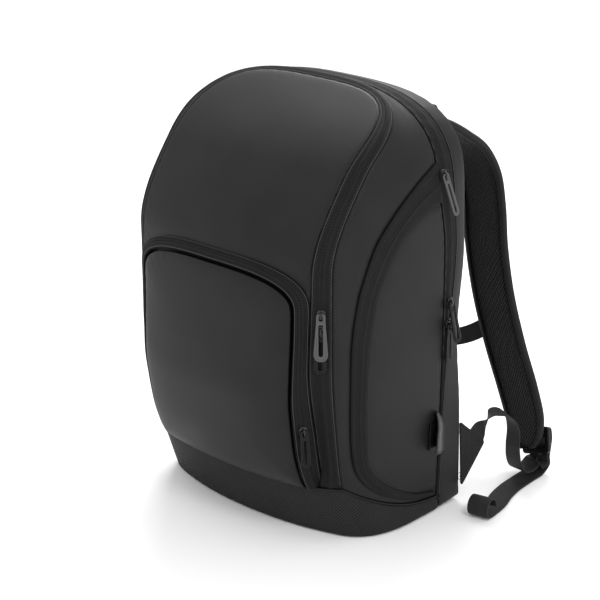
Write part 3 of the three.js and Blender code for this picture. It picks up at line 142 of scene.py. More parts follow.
SIDE_TAPE = np.array([  # front edge y and z, rear edge y and z, as shares of depth and height
    (0.118, 0.849, 0.142, 0.758), (-0.02, 0.817, -0.01, 0.73), (-0.185, 0.756, -0.135, 0.691),
    (-0.315, 0.693, -0.225, 0.639), (-0.415, 0.596, -0.3, 0.577), (-0.455, 0.486, -0.34, 0.475),
    (-0.455, 0.361, -0.355, 0.361), (-0.44, 0.248, -0.345, 0.248), (-0.41, 0.181, -0.325, 0.183),
    (-0.345, 0.136, -0.275, 0.147), (-0.235, 0.098, -0.195, 0.117), (-0.09, 0.069, -0.07, 0.085),
    (0.045, 0.052, 0.05, 0.065), (0.165, 0.046, 0.165, 0.056)])
print(len(SEAMS), "seams,", len(SIDE_TAPE), "stations on the side tape")


# %% [markdown]
# ## Curves
# Two kinds of curve are enough. One runs through a table without overshooting, for depths and
# widths. The other is a loose curve through points in space, for straps and webbing.

# %% Curve through a table
def end_slope(near, far, near_rise, far_rise):
    slope = ((2 * near + far) * near_rise - near * far_rise) / (near + far)
    if slope * near_rise <= 0:
        return 0
    return 3 * near_rise if near_rise * far_rise < 0 and abs(slope) > 3 * abs(near_rise) else slope


def smooth_table(steps, values):
    steps, values = np.array(steps, float), np.array(values, float)
    width = np.diff(steps)
    rise = np.diff(values) / width
    slope = np.zeros(len(values))
    for i in range(1, len(values) - 1):
        if rise[i - 1] * rise[i] > 0:
            before, after = 2 * width[i] + width[i - 1], width[i] + 2 * width[i - 1]
            slope[i] = (before + after) / (before / rise[i - 1] + after / rise[i])
    slope[0] = end_slope(width[0], width[1], rise[0], rise[1])
    slope[-1] = end_slope(width[-1], width[-2], rise[-1], rise[-2])

    def at(x):
        x = np.clip(x, steps[0], steps[-1])
        i = np.clip(np.searchsorted(steps, x, side="left") - 1, 0, len(width) - 1)
        t = (x - steps[i]) / width[i]
        bend = (3 - 2 * t) * t * t
        return (values[i] * (1 - bend) + values[i + 1] * bend + slope[i] * t * (1 - t) ** 2 * width[i]
                + slope[i + 1] * t * t * (t - 1) * width[i])
    return at


for seam in SEAMS:
    seam["depth_at"] = smooth_table(HEIGHT_STEPS, [share * BAG_DEPTH for share in seam["depths"]])
pocket_lift = smooth_table([row[0] * POCKET_HEIGHT for row in POCKET_LIFT],
                           [row[1] * MM for row in POCKET_LIFT])


# %% Loose curve through points
def loose_curve(points, steps):
    """Points at even parameter steps on a centripetal curve through the given points."""
    points = np.asarray(points, float)
    last = len(points) - 1
    made = []
    for share in np.linspace(0, 1, steps):
        at = share * last
        i = min(int(at), last - 1)
        t = at - i
        a = points[i - 1] if i > 0 else 2 * points[0] - points[1]
        b, c = points[i], points[i + 1]
        d = points[i + 2] if i + 2 <= last else 2 * points[last] - points[last - 1]
        ab, bc, cd = (max(float(np.linalg.norm(q - p)) ** 0.5, 1e-6) for p, q in ((a, b), (b, c), (c, d)))
        start = ((b - a) / ab - (c - a) / (ab + bc) + (c - b) / bc) * bc
        end = ((c - b) / bc - (d - b) / (bc + cd) + (d - c) / cd) * bc
        made.append(b + start * t + (-3 * b + 3 * c - 2 * start - end) * t ** 2
                    + (2 * b - 2 * c + start + end) * t ** 3)
    return np.array(made)


def loose_values(values, steps):
    spread = np.linspace(0, 1, len(values))
    return loose_curve(np.stack([spread, values, 0 * spread], 1), steps)[:, 1]


def unit(vectors):
    return vectors / np.maximum(np.linalg.norm(vectors, axis=-1, keepdims=True), 1e-12)


def length_along(points):
    return np.concatenate([[0], np.cumsum(np.linalg.norm(np.diff(points, axis=0), axis=1))])


# %% [markdown]
# ## The bag's surface
# A place on the shell has two numbers: k counts seams from the front (0) to the back (4), and s runs
# from the right foot (0) over the top to the left foot (1).

# %% Seams and the shell between them
def half_width(seam, z):
    half, foot = seam["half"] * BAG_WIDTH / 2, seam["foot_half"] * BAG_WIDTH / 2
    top = seam["top"] * BAG_HEIGHT
    shoulder = seam["shoulder"] * top
    below = half + (foot - half) * (np.maximum(shoulder - z, 0) / shoulder) ** 2
    rise = np.clip((z - shoulder) / (top - shoulder), 0, 1)
    above = half * (1 - rise ** seam["round"]) ** (1 / seam["round"])
    return np.where(z < shoulder, below, above)


def seam_point(index, s):
    seam = SEAMS[index]
    side = np.where(s < 0.5, 1.0, -1.0)
    climb = 1 - np.abs(2 * s - 1)
    top = seam["top"] * BAG_HEIGHT
    shoulder, foot = seam["shoulder"] * top, seam["foot"] * BAG_HEIGHT
    z_side = foot + (shoulder - foot) * np.minimum(climb, SIDE_SHARE) / SIDE_SHARE
    angle = np.clip((climb - SIDE_SHARE) / (1 - SIDE_SHARE), 0, 1) * math.pi / 2
    cos, sin = np.maximum(0, np.cos(angle)), np.sin(angle)
    size = (cos ** seam["round"] + sin ** seam["round"]) ** (1 / seam["round"])
    straight = climb < SIDE_SHARE
    z = np.where(straight, z_side, shoulder + (top - shoulder) * sin / size)
    x = np.where(straight, half_width(seam, z_side), seam["half"] * BAG_WIDTH / 2 * cos / size)
    return np.stack([side * x, seam["depth_at"](z / top), z], -1)


def front_depth(x, z):
    seam = SEAMS[FRONT_TAPE]
    reach = np.maximum(20 * MM, half_width(seam, z))
    top = seam["top"] * BAG_HEIGHT
    fade = np.clip((top - z) / (0.26 * BAG_HEIGHT), 0, 1)
    return seam["depth_at"](z / top) - FRONT_CROWN * np.maximum(0, 1 - (x / reach) ** 2) * fade


def side_hull(k, s):
    """Between the front and rear tapes, for k from SIDE to REAR_TAPE."""
    share = (np.asarray(k, float) - SIDE)[..., None]
    front, rear = seam_point(SIDE, s), seam_point(REAR_TAPE, s)
    turn = 1 - (1 - share) ** 3
    mix = np.concatenate([turn, share, turn], -1) * np.ones_like(front)
    point = front + (rear - front) * mix
    foot_drop = (SEAMS[SIDE]["foot"] - SEAMS[REAR_TAPE]["foot"]) * BAG_HEIGHT
    bend = ((1 - share) ** 2 - (1 - turn))[..., 0]
    point[..., 2] += foot_drop * bend * np.maximum(0, 1 - (1 - np.abs(2 * s - 1)) / SIDE_SHARE)
    return point


def hull(k, s):
    s = np.atleast_1d(np.asarray(s, float))
    if k <= 0:
        rim = seam_point(FRONT_TAPE, s)
        x = rim[:, 0] * (1 + 0.4 * k)
        z = rim[:, 2] - (BAG_HEIGHT * 0.5 - rim[:, 2]) * 0.4 * k
        return np.stack([x, front_depth(x, z), z], -1)
    index = min(len(SEAMS) - 2, int(k))
    if index == SIDE:
        return side_hull(np.full(len(s), float(k)), s)
    front, rear = seam_point(index, s), seam_point(index + 1, s)
    return front + (rear - front) * (k - index)


def hull_normal(k, s, reach=0.3):
    s = np.atleast_1d(np.asarray(s, float))
    across = hull(min(BACK, k + reach), s) - hull(k - reach, s)
    along = hull(k, np.minimum(1, s + 0.006)) - hull(k, np.maximum(0, s - 0.006))
    return unit(np.cross(across, along))


def climb_to(k, z):
    s = np.linspace(0, 0.5, 2001)
    return float(np.interp(z, hull(k, s)[:, 2], s))


def place_on_side(y, z):
    """k and s of the points at depth y and height z on the right side, between the tapes."""
    y, z = np.atleast_1d(y), np.atleast_1d(z)
    k = np.full(len(y), SIDE + 0.5)
    for _ in range(20):
        low, high = np.zeros(len(y)), np.full(len(y), 0.5)
        for _ in range(24):
            s = (low + high) / 2
            under = side_hull(k, s)[:, 2] < z
            low, high = np.where(under, s, low), np.where(under, high, s)
        front, rear = seam_point(SIDE, s)[:, 1], seam_point(REAR_TAPE, s)[:, 1]
        k = SIDE + np.clip((y - front) / (rear - front), 0, 1)
    return k, s


def side_normal(k, s):
    across = side_hull(np.minimum(k + 0.1, REAR_TAPE), s) - side_hull(np.maximum(k - 0.1, SIDE), s)
    along = side_hull(k, s + 0.006) - side_hull(k, np.maximum(0, s - 0.006))
    return unit(np.cross(across, along))


print("shell: top at", round(float(hull(REAR_TAPE, 0.5)[0, 2]), 4), "m")


# %% [markdown]
# ## Cloth in code
# A panel is a grid of points with a thickness. Three small moves make it read as sewn cloth: its
# edges roll down into the seam, the seam's tension puckers it a little, and its middle is never
# quite flat. Each vertex also keeps its distance along the cloth as a UV, so that a weave follows
# the surface, and how near it is to a seam, so that shade can be painted into the seams.

# %% Cloth moves
ROLL_DEPTH = 1.9 * MM
ROLL_WIDTH = 2.0 * MM


def roll(distance, depth=ROLL_DEPTH, width=ROLL_WIDTH):
    return -depth * np.exp(-distance / width)


def pucker(distance, along, pitch=17 * MM, height=0.2 * MM, reach=10 * MM, seed=0.0):
    wobble = np.sin(along / (pitch * 3.7) + seed) * 2.6 + np.sin(along / (pitch * 1.3) + seed * 2) * 1.1
    swell = 0.55 + 0.45 * np.sin(along / (pitch * 2.3) + seed * 3)
    return height * swell * np.sin(2 * math.pi * along / pitch + wobble) * np.exp(-distance / reach)


def slack(points, size, height, seed):
    """Slow unevenness of cloth over foam."""
    flat = points.reshape(-1, 3) / size
    values = [noise.noise(Vector((p[0] + seed, p[1], p[2] - seed))) for p in flat]
    return height * np.array(values).reshape(points.shape[:-1])


def grid_normals(grid, wraps=False):
    """Normals of a grid of points, facing away from rows x columns in right-hand order."""
    rows = np.gradient(grid, axis=0)
    if wraps:
        columns = (np.roll(grid, -1, 1) - np.roll(grid, 1, 1)) / 2
    else:
        columns = np.gradient(grid, axis=1)
    return unit(np.cross(rows, columns))


def width_across(grid):
    """Distance across a grid's rows, from its first row."""
    steps = np.linalg.norm(np.diff(grid, axis=0), axis=-1)
    return np.concatenate([np.zeros((1, grid.shape[1])), np.cumsum(steps, 0)])


def measured(grid, middle):
    """Distances across and along a band, and from its nearer edge."""
    across = width_across(grid)
    along = np.tile(length_along(grid[middle]), (len(grid), 1))
    return across, along, np.minimum(across, across[-1] - across)


# %% Grids to meshes
def link(mesh, name):
    mesh.polygons.foreach_set("use_smooth", [True] * len(mesh.polygons))
    piece = bpy.data.objects.new(name, mesh)
    bpy.context.scene.collection.objects.link(piece)
    return piece


def positions(mesh):
    points = np.empty(len(mesh.vertices) * 3)
    mesh.vertices.foreach_get("co", points)
    return points.reshape(-1, 3)


def as_mesh(piece):
    """The piece as its modifiers leave it, as a plain mesh."""
    view = bpy.context.evaluated_depsgraph_get()
    return bpy.data.meshes.new_from_object(piece.evaluated_get(view))


def give_uv(mesh, uv, edge=None):
    """Sets the cloth UV in metres and the edge attribute from arrays per vertex."""
    loops = np.empty(len(mesh.loops), int)
    mesh.loops.foreach_get("vertex_index", loops)
    layer = mesh.uv_layers.get("cloth") or mesh.uv_layers.new(name="cloth")
    layer.data.foreach_set("uv", uv[loops].astype(np.float32).ravel())
    shade = mesh.attributes.get("edge") or mesh.attributes.new("edge", "FLOAT", "POINT")
    shade.data.foreach_set("value", (np.zeros(len(uv)) if edge is None else edge).astype(np.float32))


def tube_faces(rings, count):
    """Faces of a closed tube of rings with count points each, capped at both ends."""
    i, j = np.meshgrid(np.arange(rings - 1), np.arange(count), indexing="ij")
    n = (j + 1) % count
    quads = np.stack([i * count + j, i * count + n, (i + 1) * count + n, (i + 1) * count + j], -1)
    last = (rings - 1) * count
    return [tuple(face) for face in quads.reshape(-1, 4).tolist()] + [
        tuple(range(count - 1, -1, -1)), tuple(range(last, last + count))]


def wall(name, outer, inner, uv, edge, wraps=False):
    """A closed wall between two grids; uv in metres and edge (1 at a seam) are kept per vertex."""
    rows, columns = outer.shape[:2]
    count = rows * columns
    number = np.arange(count).reshape(rows, columns)
    spans = columns if wraps else columns - 1
    j = np.arange(spans)
    k = (j + 1) % columns
    a, b = number[:-1][:, j], number[:-1][:, k]
    c, d = number[1:][:, k], number[1:][:, j]
    faces = [np.stack([a, b, c, d], -1).reshape(-1, 4), np.stack([a, d, c, b], -1).reshape(-1, 4) + count]
    for row, flip in ((0, False), (rows - 1, True)):
        p, q = number[row, j], number[row, k]
        rim = [p, p + count, q + count, q]
        faces.append(np.stack(rim[::-1] if flip else rim, -1))
    if not wraps:
        for column, flip in ((0, False), (columns - 1, True)):
            p, q = number[:-1, column], number[1:, column]
            rim = [p, q, q + count, p + count]
            faces.append(np.stack(rim[::-1] if flip else rim, -1))
    points = np.concatenate([outer.reshape(-1, 3), inner.reshape(-1, 3)])
    return solid(name, points, np.concatenate(faces), np.concatenate([uv.reshape(-1, 2)] * 2),
                 np.concatenate([edge.reshape(-1)] * 2))


def solid(name, points, faces, uv=None, edge=None):
    """A closed mesh whose faces are turned outwards."""
    mesh = bpy.data.meshes.new(name)
    mesh.from_pydata(points.tolist(), [], [list(map(int, face)) for face in faces])
    give_uv(mesh, points[:, [0, 2]] if uv is None else uv, edge)
    if signed_volume(mesh) < 0:
        mesh.flip_normals()
    return link(mesh, name)


def signed_volume(mesh):
    mesh.calc_loop_triangles()
    corners = np.empty(len(mesh.loop_triangles) * 3, int)
    mesh.loop_triangles.foreach_get("vertices", corners)
    a, b, c = positions(mesh)[corners.reshape(-1, 3)].transpose(1, 0, 2)
    return float(np.sum(a * np.cross(b, c)))


def triangles(piece):
    return sum(len(face.vertices) - 2 for face in piece.data.polygons)


def dress(piece, material, slot, *nodes):
    """Gives a piece its material, lets it ride on the bag and stand for its CAD nodes."""
    piece.data.materials.clear()
    piece.data.materials.append(material)
    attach(piece, "root")
    if nodes:
        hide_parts(*nodes)
    print(f"{piece.name}: {triangles(piece)} triangles")
    return piece


def other_side(piece, slot, *nodes):
    """The same piece on the left side of the bag, dressed alike."""
    mesh = piece.data.copy()
    mesh.vertices.foreach_set("co", (positions(mesh) * (-1, 1, 1)).ravel())
    mesh.flip_normals()
    return dress(link(mesh, piece.name.replace("right", "left")), piece.data.materials[0], slot, *nodes)


# %% [markdown]
# ## Finishes
# All of it is black, so the finishes differ in texture and gloss rather than colour: a satin coated
# shell, a dotted ballistic base, ribbed tape and webbing, open mesh, lacquered metal, rubber and
# imitation leather. Every pattern is built from the UV in metres, so its pitch is a real size.

# %% A small kit for shader nodes
class Finish:
    def __init__(self, name, roughness, **sockets):
        self.material = bpy.data.materials.new(name)
        self.material.use_nodes = True
        self.tree = self.material.node_tree
        self.shader = self.tree.nodes["Principled BSDF"]
        self.shader.inputs["Roughness"].default_value = roughness
        for label, value in sockets.items():
            self.shader.inputs[label.replace("_", " ")].default_value = value

    def node(self, kind, feeds, output=0, **settings):
        node = self.tree.nodes.new(kind)
        for label, value in settings.items():
            setattr(node, label, value)
        for label, value in feeds.items():
            if isinstance(value, bpy.types.NodeSocket):
                self.tree.links.new(value, node.inputs[label])
            else:
                node.inputs[label].default_value = value
        return node.outputs[output]

    def math(self, operation, a, b=0.0):
        return self.node("ShaderNodeMath", {0: a, 1: b}, operation=operation)

    def plus(self, a, b):
        return self.math("ADD", a, b)

    def times(self, a, b):
        return self.math("MULTIPLY", a, b)

    def cloth_uv(self):
        parts = self.tree.nodes.new("ShaderNodeSeparateXYZ")
        self.tree.links.new(self.node("ShaderNodeUVMap", {}, uv_map="cloth"), parts.inputs[0])
        return parts.outputs[0:2]

    def edge(self):
        return self.node("ShaderNodeAttribute", {}, "Fac", attribute_name="edge")

    def wave(self, along, pitch):
        """A sine of 0 to 1 with the given pitch in metres."""
        return self.math("MULTIPLY_ADD", self.math("SINE", self.times(along, 2 * math.pi / pitch)), 0.5)

    def cloudy(self, size, detail=2.0):
        place = self.node("ShaderNodeTexCoord", {}, "Object")
        return self.node("ShaderNodeTexNoise", {"Vector": place, "Scale": 1 / size, "Detail": detail})

    def colour(self, factor, dark, light):
        ramp = self.tree.nodes.new("ShaderNodeMix")
        ramp.data_type = "RGBA"
        ramp.clamp_factor = True
        colours = [socket for socket in ramp.inputs if socket.type == "RGBA"]
        colours[0].default_value, colours[1].default_value = (*dark, 1), (*light, 1)
        self.tree.links.new(factor, ramp.inputs[0])
        result = [socket for socket in ramp.outputs if socket.type == "RGBA"][0]
        self.tree.links.new(result, self.shader.inputs["Base Color"])

    def roughness(self, factor, low, high):
        spread = self.node("ShaderNodeMapRange", {"Value": factor, "To Min": low, "To Max": high})
        self.tree.links.new(spread, self.shader.inputs["Roughness"])

    def seam_depth(self):
        """1 in the bottom of a seam, 0 two millimetres beside it; it masks the painted seam shade."""
        return self.node("ShaderNodeMapRange", {"Value": self.edge(), "From Min": 0.58, "From Max": 0.84},
                         interpolation_type="SMOOTHSTEP")

    def seam_shade(self, tone, share):
        """Paints shade into the tone where the cloth dives into a seam."""
        return self.times(tone, self.math("SUBTRACT", 1.0, self.times(self.seam_depth(), share)))

    def gloss(self, level):
        """Keeps the shine on the open cloth and out of the seams."""
        spread = self.node("ShaderNodeMapRange", {"Value": self.seam_depth(), "To Min": level,
                                                  "To Max": level * 0.1})
        self.tree.links.new(spread, self.shader.inputs["Specular IOR Level"])

    def bump(self, height, distance, strength=1.0):
        normal = self.node("ShaderNodeBump", {"Height": height, "Distance": distance, "Strength": strength})
        self.tree.links.new(normal, self.shader.inputs["Normal"])


# %% [markdown]
# The shell is tightly woven polyester with a soft coating. Its threads repeat every 0.6 mm, so they
# only break up the highlight; slow clouds of tone and the shade painted into the seams do more for the eye.

# %% Shell cloth
def shell_finish():
    finish = Finish("shell_cloth", 0.5, Specular_IOR_Level=0.22)
    u, v = finish.cloth_uv()
    weave = finish.times(finish.wave(u, 0.62 * MM), finish.wave(v, 0.62 * MM))
    clouds = finish.cloudy(45 * MM)
    tone = finish.plus(finish.times(clouds, 0.7), finish.times(weave, 0.3))
    finish.colour(finish.seam_shade(tone, 0.85), (0.0012, 0.0012, 0.0014), (0.015, 0.015, 0.0158))
    finish.gloss(0.22)
    finish.roughness(clouds, 0.42, 0.56)
    finish.bump(weave, 0.05 * MM, 0.6)
    return finish.material


SHELL = shell_finish()


# %% [markdown]
# The base is a heavier ballistic cloth. Fat yarns cross two by two, so it shows as diagonal rows of
# raised dots, the one texture that is plain to see from a distance.

# %% Ballistic base cloth
DOT_PITCH = 3.4 * MM


def ballistic_finish():
    finish = Finish("base_cloth", 0.62, Specular_IOR_Level=0.2)
    u, v = finish.cloth_uv()
    rising = finish.wave(finish.plus(u, v), DOT_PITCH)
    falling = finish.wave(finish.math("SUBTRACT", u, v), DOT_PITCH)
    dots = finish.math("POWER", finish.times(rising, falling), 0.8)
    height = finish.plus(dots, finish.times(finish.wave(u, 0.38 * MM), 0.12))
    tone = finish.plus(finish.times(dots, 0.85), finish.times(finish.cloudy(30 * MM), 0.15))
    finish.colour(finish.seam_shade(tone, 0.9), (0.0008, 0.0008, 0.001), (0.036, 0.036, 0.0375))
    finish.gloss(0.2)
    finish.roughness(dots, 0.75, 0.5)
    finish.bump(height, 0.4 * MM, 0.9)
    return finish.material


BASE = ballistic_finish()


# %% [markdown]
# Tape and webbing are ribbed across their length. The tape's ribs are fine and matt; the webbing's
# are coarser, and its two rounded edges are painted paler as a highlight.

# %% Zip tape, coil, thread and binding
def ribbed_finish(name, pitch, dark, light, depth, roughness, across_v=False, seams=False,
                  painted_edge_highlight=0.0):
    finish = Finish(name, roughness, Specular_IOR_Level=0.18)
    u, v = finish.cloth_uv()
    ribs = finish.wave(v if across_v else u, pitch)
    yarn = finish.wave(u if across_v else v, pitch * 0.45)
    tone = finish.plus(finish.times(ribs, 0.6), finish.times(finish.cloudy(12 * MM), 0.4))
    # The webbing's paler edges are a painted highlight on its rounded sides.
    if painted_edge_highlight:
        rim = finish.node("ShaderNodeMapRange", {"Value": finish.edge(), "From Min": 0.6, "From Max": 0.8})
        tone = finish.plus(tone, finish.times(rim, painted_edge_highlight))
    # With seams set, the tone also gets the painted seam shade.
    finish.colour(finish.seam_shade(tone, 0.9) if seams else tone, dark, light)
    finish.bump(finish.plus(ribs, finish.times(yarn, 0.3)), depth, 0.8)
    return finish.material


TAPE = ribbed_finish("zip_tape", 1.4 * MM, (0.0008, 0.0008, 0.001), (0.0105, 0.0105, 0.0112), 0.2 * MM, 0.7,
                     seams=True)
BINDING = ribbed_finish("binding", 1.0 * MM, (0.004, 0.004, 0.0045), (0.019, 0.019, 0.02), 0.15 * MM, 0.6)
# The welt is the same black cloth; its paler tone is a painted highlight along its crest.
WELT_HIGHLIGHT = ribbed_finish("welt", 0.8 * MM, (0.02, 0.02, 0.021), (0.06, 0.06, 0.062), 0.1 * MM, 0.5)
STRAP = ribbed_finish("webbing", 1.9 * MM, (0.002, 0.002, 0.0024), (0.026, 0.026, 0.0272), 0.35 * MM, 0.6,
                      painted_edge_highlight=0.9)
THREAD = ribbed_finish("thread", 0.5 * MM, (0.01, 0.01, 0.011), (0.04, 0.04, 0.042), 0.05 * MM, 0.5)


def coil_finish():
    finish = Finish("zip_coil", 0.4, Specular_IOR_Level=0.15)
    finish.colour(finish.cloudy(3 * MM), (0.002, 0.002, 0.0022), (0.009, 0.009, 0.0095))
    finish.bump(finish.cloudy(0.6 * MM), 0.05 * MM, 0.5)
    return finish.material


COIL = coil_finish()


# %% [markdown]
# The spacer mesh is a net of slanted threads over a gap. The holes are drawn by two slanted
# waves: where both are low there is a hole, lower than the threads around it and painted near black
# for the black layer below and the shade that falls into it.

# %% Air mesh
MESH_PITCH = 3.6 * MM


def mesh_finish():
    finish = Finish("air_mesh", 0.8, Specular_IOR_Level=0.16)
    u, v = finish.cloth_uv()
    steep = finish.times(v, 0.75)
    rising, falling = (finish.math("POWER", finish.wave(finish.math(way, u, steep), MESH_PITCH), 3.0)
                       for way in ("ADD", "SUBTRACT"))
    threads = finish.math("MAXIMUM", rising, finish.times(falling, 0.75))
    # The holes' near black is partly painted shade.
    finish.colour(threads, (0.0001, 0.0001, 0.0002), (0.045, 0.045, 0.0465))
    finish.bump(threads, 0.7 * MM, 0.9)
    return finish.material


AIR_MESH = mesh_finish()


# %% Metal, plastic, rubber and leather
def moulded_finish(name, dark, light, low, high, grain, depth, **sockets):
    finish = Finish(name, low, **sockets)
    fine = finish.cloudy(grain, 4.0)
    wide = finish.cloudy(9 * MM)
    finish.colour(finish.math("MULTIPLY_ADD", fine, 0.6), dark, light)
    finish.roughness(wide, low, high)
    finish.bump(fine, depth, 0.6)
    return finish.material


METAL = moulded_finish("black_metal", (0.008, 0.008, 0.009), (0.03, 0.03, 0.033), 0.12, 0.24, 1.4 * MM,
                       0.05 * MM, Metallic=0.9, Specular_IOR_Level=0.5, Coat_Weight=0.3, Coat_Roughness=0.08)
PLASTIC = moulded_finish("black_plastic", (0.0015, 0.0015, 0.0018), (0.005, 0.005, 0.0055), 0.2, 0.34,
                         0.5 * MM, 0.04 * MM, Specular_IOR_Level=0.2)
RUBBER = moulded_finish("pull_rubber", (0.05, 0.05, 0.052), (0.08, 0.08, 0.083), 0.45, 0.6,
                        0.4 * MM, 0.08 * MM, Specular_IOR_Level=0.3)
LEATHER = moulded_finish("hood_leather", (0.012, 0.012, 0.013), (0.026, 0.026, 0.028), 0.3, 0.44,
                         0.9 * MM, 0.09 * MM, Specular_IOR_Level=0.5, Coat_Weight=0.15, Coat_Roughness=0.35)


def floor_finish():
    finish = Finish("pale_floor", 0.75, Specular_IOR_Level=0.2)
    finish.colour(finish.cloudy(0.6), (0.95, 0.95, 0.95), (0.97, 0.97, 0.97))
    return finish.material


floor.data.materials.append(floor_finish())
print(len(bpy.data.materials), "finishes")


# %% [markdown]
# ## Rows and welts by Geometry Nodes
# Stitches and coil teeth repeat along a path, and a welt follows one. One tree sets a small bead at
# every step of a path and turns it to the cloth: its long side along or across the path, its back
# away from the cloth. The other draws a round cord along the path. The path itself is a chain of
# points that carries the direction away from the cloth as an attribute.

# %% The two trees
def new_tree(name, sizes):
    tree = bpy.data.node_groups.new(name, "GeometryNodeTree")
    tree.is_modifier = True
    face = tree.interface
    face.new_socket(name="Geometry", in_out="INPUT", socket_type="NodeSocketGeometry")
    for label, value in sizes.items():
        face.new_socket(name=label, in_out="INPUT", socket_type="NodeSocketFloat").default_value = value
    face.new_socket(name="Material", in_out="INPUT", socket_type="NodeSocketMaterial")
    face.new_socket(name="Geometry", in_out="OUTPUT", socket_type="NodeSocketGeometry")
    return tree, tree.nodes.new("NodeGroupInput"), tree.nodes.new("NodeGroupOutput")


def finish_tree(tree, given, result, geometry):
    smooth = tree.nodes.new("GeometryNodeSetShadeSmooth")
    paint = tree.nodes.new("GeometryNodeSetMaterial")
    tree.links.new(geometry, smooth.inputs["Geometry"])
    tree.links.new(smooth.outputs[0], paint.inputs["Geometry"])
    tree.links.new(given.outputs["Material"], paint.inputs["Material"])
    tree.links.new(paint.outputs[0], result.inputs["Geometry"])


def bead_row_tree():
    tree, given, result = new_tree("bead_row", {"Pitch": 3 * MM, "Length": 2 * MM, "Width": 1 * MM,
                                                "Height": 0.6 * MM})
    path = tree.nodes.new("GeometryNodeMeshToCurve")
    steps = tree.nodes.new("GeometryNodeResampleCurve")
    steps.mode = "LENGTH"
    bead = tree.nodes.new("GeometryNodeMeshIcoSphere")
    bead.inputs["Radius"].default_value = 0.5
    bead.inputs["Subdivisions"].default_value = 1
    tangent = tree.nodes.new("GeometryNodeInputTangent")
    away_from_cloth = tree.nodes.new("GeometryNodeInputNamedAttribute")
    away_from_cloth.data_type = "FLOAT_VECTOR"
    away_from_cloth.inputs["Name"].default_value = "out"
    along = tree.nodes.new("FunctionNodeAlignRotationToVector")
    along.axis = "X"
    upright = tree.nodes.new("FunctionNodeAlignRotationToVector")
    upright.axis = "Z"
    upright.pivot_axis = "X"
    size = tree.nodes.new("ShaderNodeCombineXYZ")
    place = tree.nodes.new("GeometryNodeInstanceOnPoints")
    real = tree.nodes.new("GeometryNodeRealizeInstances")
    for start, end in [
            (given.outputs["Geometry"], path.inputs[0]), (path.outputs[0], steps.inputs["Curve"]),
            (given.outputs["Pitch"], steps.inputs["Length"]), (tangent.outputs[0], along.inputs["Vector"]),
            (along.outputs[0], upright.inputs["Rotation"]), (given.outputs["Length"], size.inputs[0]),
            (given.outputs["Width"], size.inputs[1]), (given.outputs["Height"], size.inputs[2]),
            (steps.outputs[0], place.inputs["Points"]), (bead.outputs[0], place.inputs["Instance"]),
            (upright.outputs[0], place.inputs["Rotation"]), (size.outputs[0], place.inputs["Scale"]),
            (place.outputs[0], real.inputs[0])]:
        tree.links.new(start, end)
    vector = [socket for socket in away_from_cloth.outputs if socket.type == "VECTOR" and socket.enabled][0]
    tree.links.new(vector, upright.inputs["Vector"])
    finish_tree(tree, given, result, real.outputs[0])
    return tree


def welt_tree():
    tree, given, result = new_tree("welt", {"Radius": 1 * MM})
    path = tree.nodes.new("GeometryNodeMeshToCurve")
    ring = tree.nodes.new("GeometryNodeCurvePrimitiveCircle")
    ring.inputs["Resolution"].default_value = 7
    draw = tree.nodes.new("GeometryNodeCurveToMesh")
    draw.inputs["Fill Caps"].default_value = True
    real = tree.nodes.new("GeometryNodeRealizeInstances")
    tree.links.new(given.outputs["Geometry"], path.inputs[0])
    tree.links.new(given.outputs["Radius"], ring.inputs["Radius"])
    tree.links.new(path.outputs[0], draw.inputs["Curve"])
    tree.links.new(ring.outputs[0], draw.inputs["Profile Curve"])
    tree.links.new(draw.outputs[0], real.inputs[0])
    finish_tree(tree, given, result, real.outputs[0])
    return tree


BEAD_ROW, WELT = bead_row_tree(), welt_tree()


# %% Running a tree along paths
def grow(name, tree, paths, sizes, material):
    """paths is a list of (points, directions away from the cloth); the result is a plain mesh."""
    points = np.concatenate([path[0] for path in paths])
    outs = np.concatenate([path[1] for path in paths])
    edges, first = [], 0
    for path in paths:
        edges += [(first + i, first + i + 1) for i in range(len(path[0]) - 1)]
        first += len(path[0])
    mesh = bpy.data.meshes.new(name)
    mesh.from_pydata(points.tolist(), edges, [])
    layer = mesh.attributes.new("out", "FLOAT_VECTOR", "POINT")
    layer.data.foreach_set("vector", outs.astype(np.float32).ravel())
    piece = link(mesh, name)
    run = piece.modifiers.new("grow", "NODES")
    run.node_group = tree
    named = {item.name: item.identifier for item in tree.interface.items_tree
             if item.item_type == "SOCKET" and item.in_out == "INPUT"}
    for label, value in sizes.items():
        run[named[label]] = value
    run[named["Material"]] = material
    grown = as_mesh(piece)
    piece.modifiers.clear()
    piece.data = grown
    return piece


def stitches(name, paths, slot, pitch=3.4 * MM, length=2.5 * MM, width=0.75 * MM, height=0.6 * MM,
             material=THREAD):
    sizes = {"Pitch": pitch, "Length": length, "Width": width, "Height": height}
    return dress(grow(name, BEAD_ROW, paths, sizes, material), material, slot)


def zip_teeth(name, paths, height=1.0 * MM):
    return stitches(name, paths, "zip_tape", 1.35 * MM, 1.0 * MM, 1.8 * MM, height, COIL)


def welts(name, paths, radius, slot, material=BINDING):
    return dress(grow(name, WELT, paths, {"Radius": radius}, material), material, slot)


# %% [markdown]
# ## The shell panels
# The dome at the front is filled in from its four borders; the others are strips between two
# neighbouring seams. The zip bands are strips too, with a mound down the middle where the coil lies
# under its cover.

# %% Strips between two seams
def shell_strip(k_from, k_to, columns, steps):
    s = np.linspace(0, 1, steps)
    inset = 0.05 * MM / float(np.linalg.norm(hull(k_from, 0.25) - hull(k_to, 0.25)))
    share = (1 - np.cos(np.linspace(0, math.pi, columns))) / 2
    ks = k_from + (k_to - k_from) * (inset + (1 - 2 * inset) * share)
    grid = np.stack([hull(float(k), s) for k in ks])
    return grid, grid_normals(grid), measured(grid, columns // 2)


def coil_mound(across, whole, height=1.2 * MM, width=2.6 * MM):
    middle = np.abs(across - whole / 2)
    ridge = height * np.exp(-(middle / width) ** 2) - 0.35 * MM * np.exp(-(middle / (0.5 * MM)) ** 2)
    return ridge - 0.3 * MM * np.exp(-((middle - 4.4 * MM) / (0.8 * MM)) ** 2)


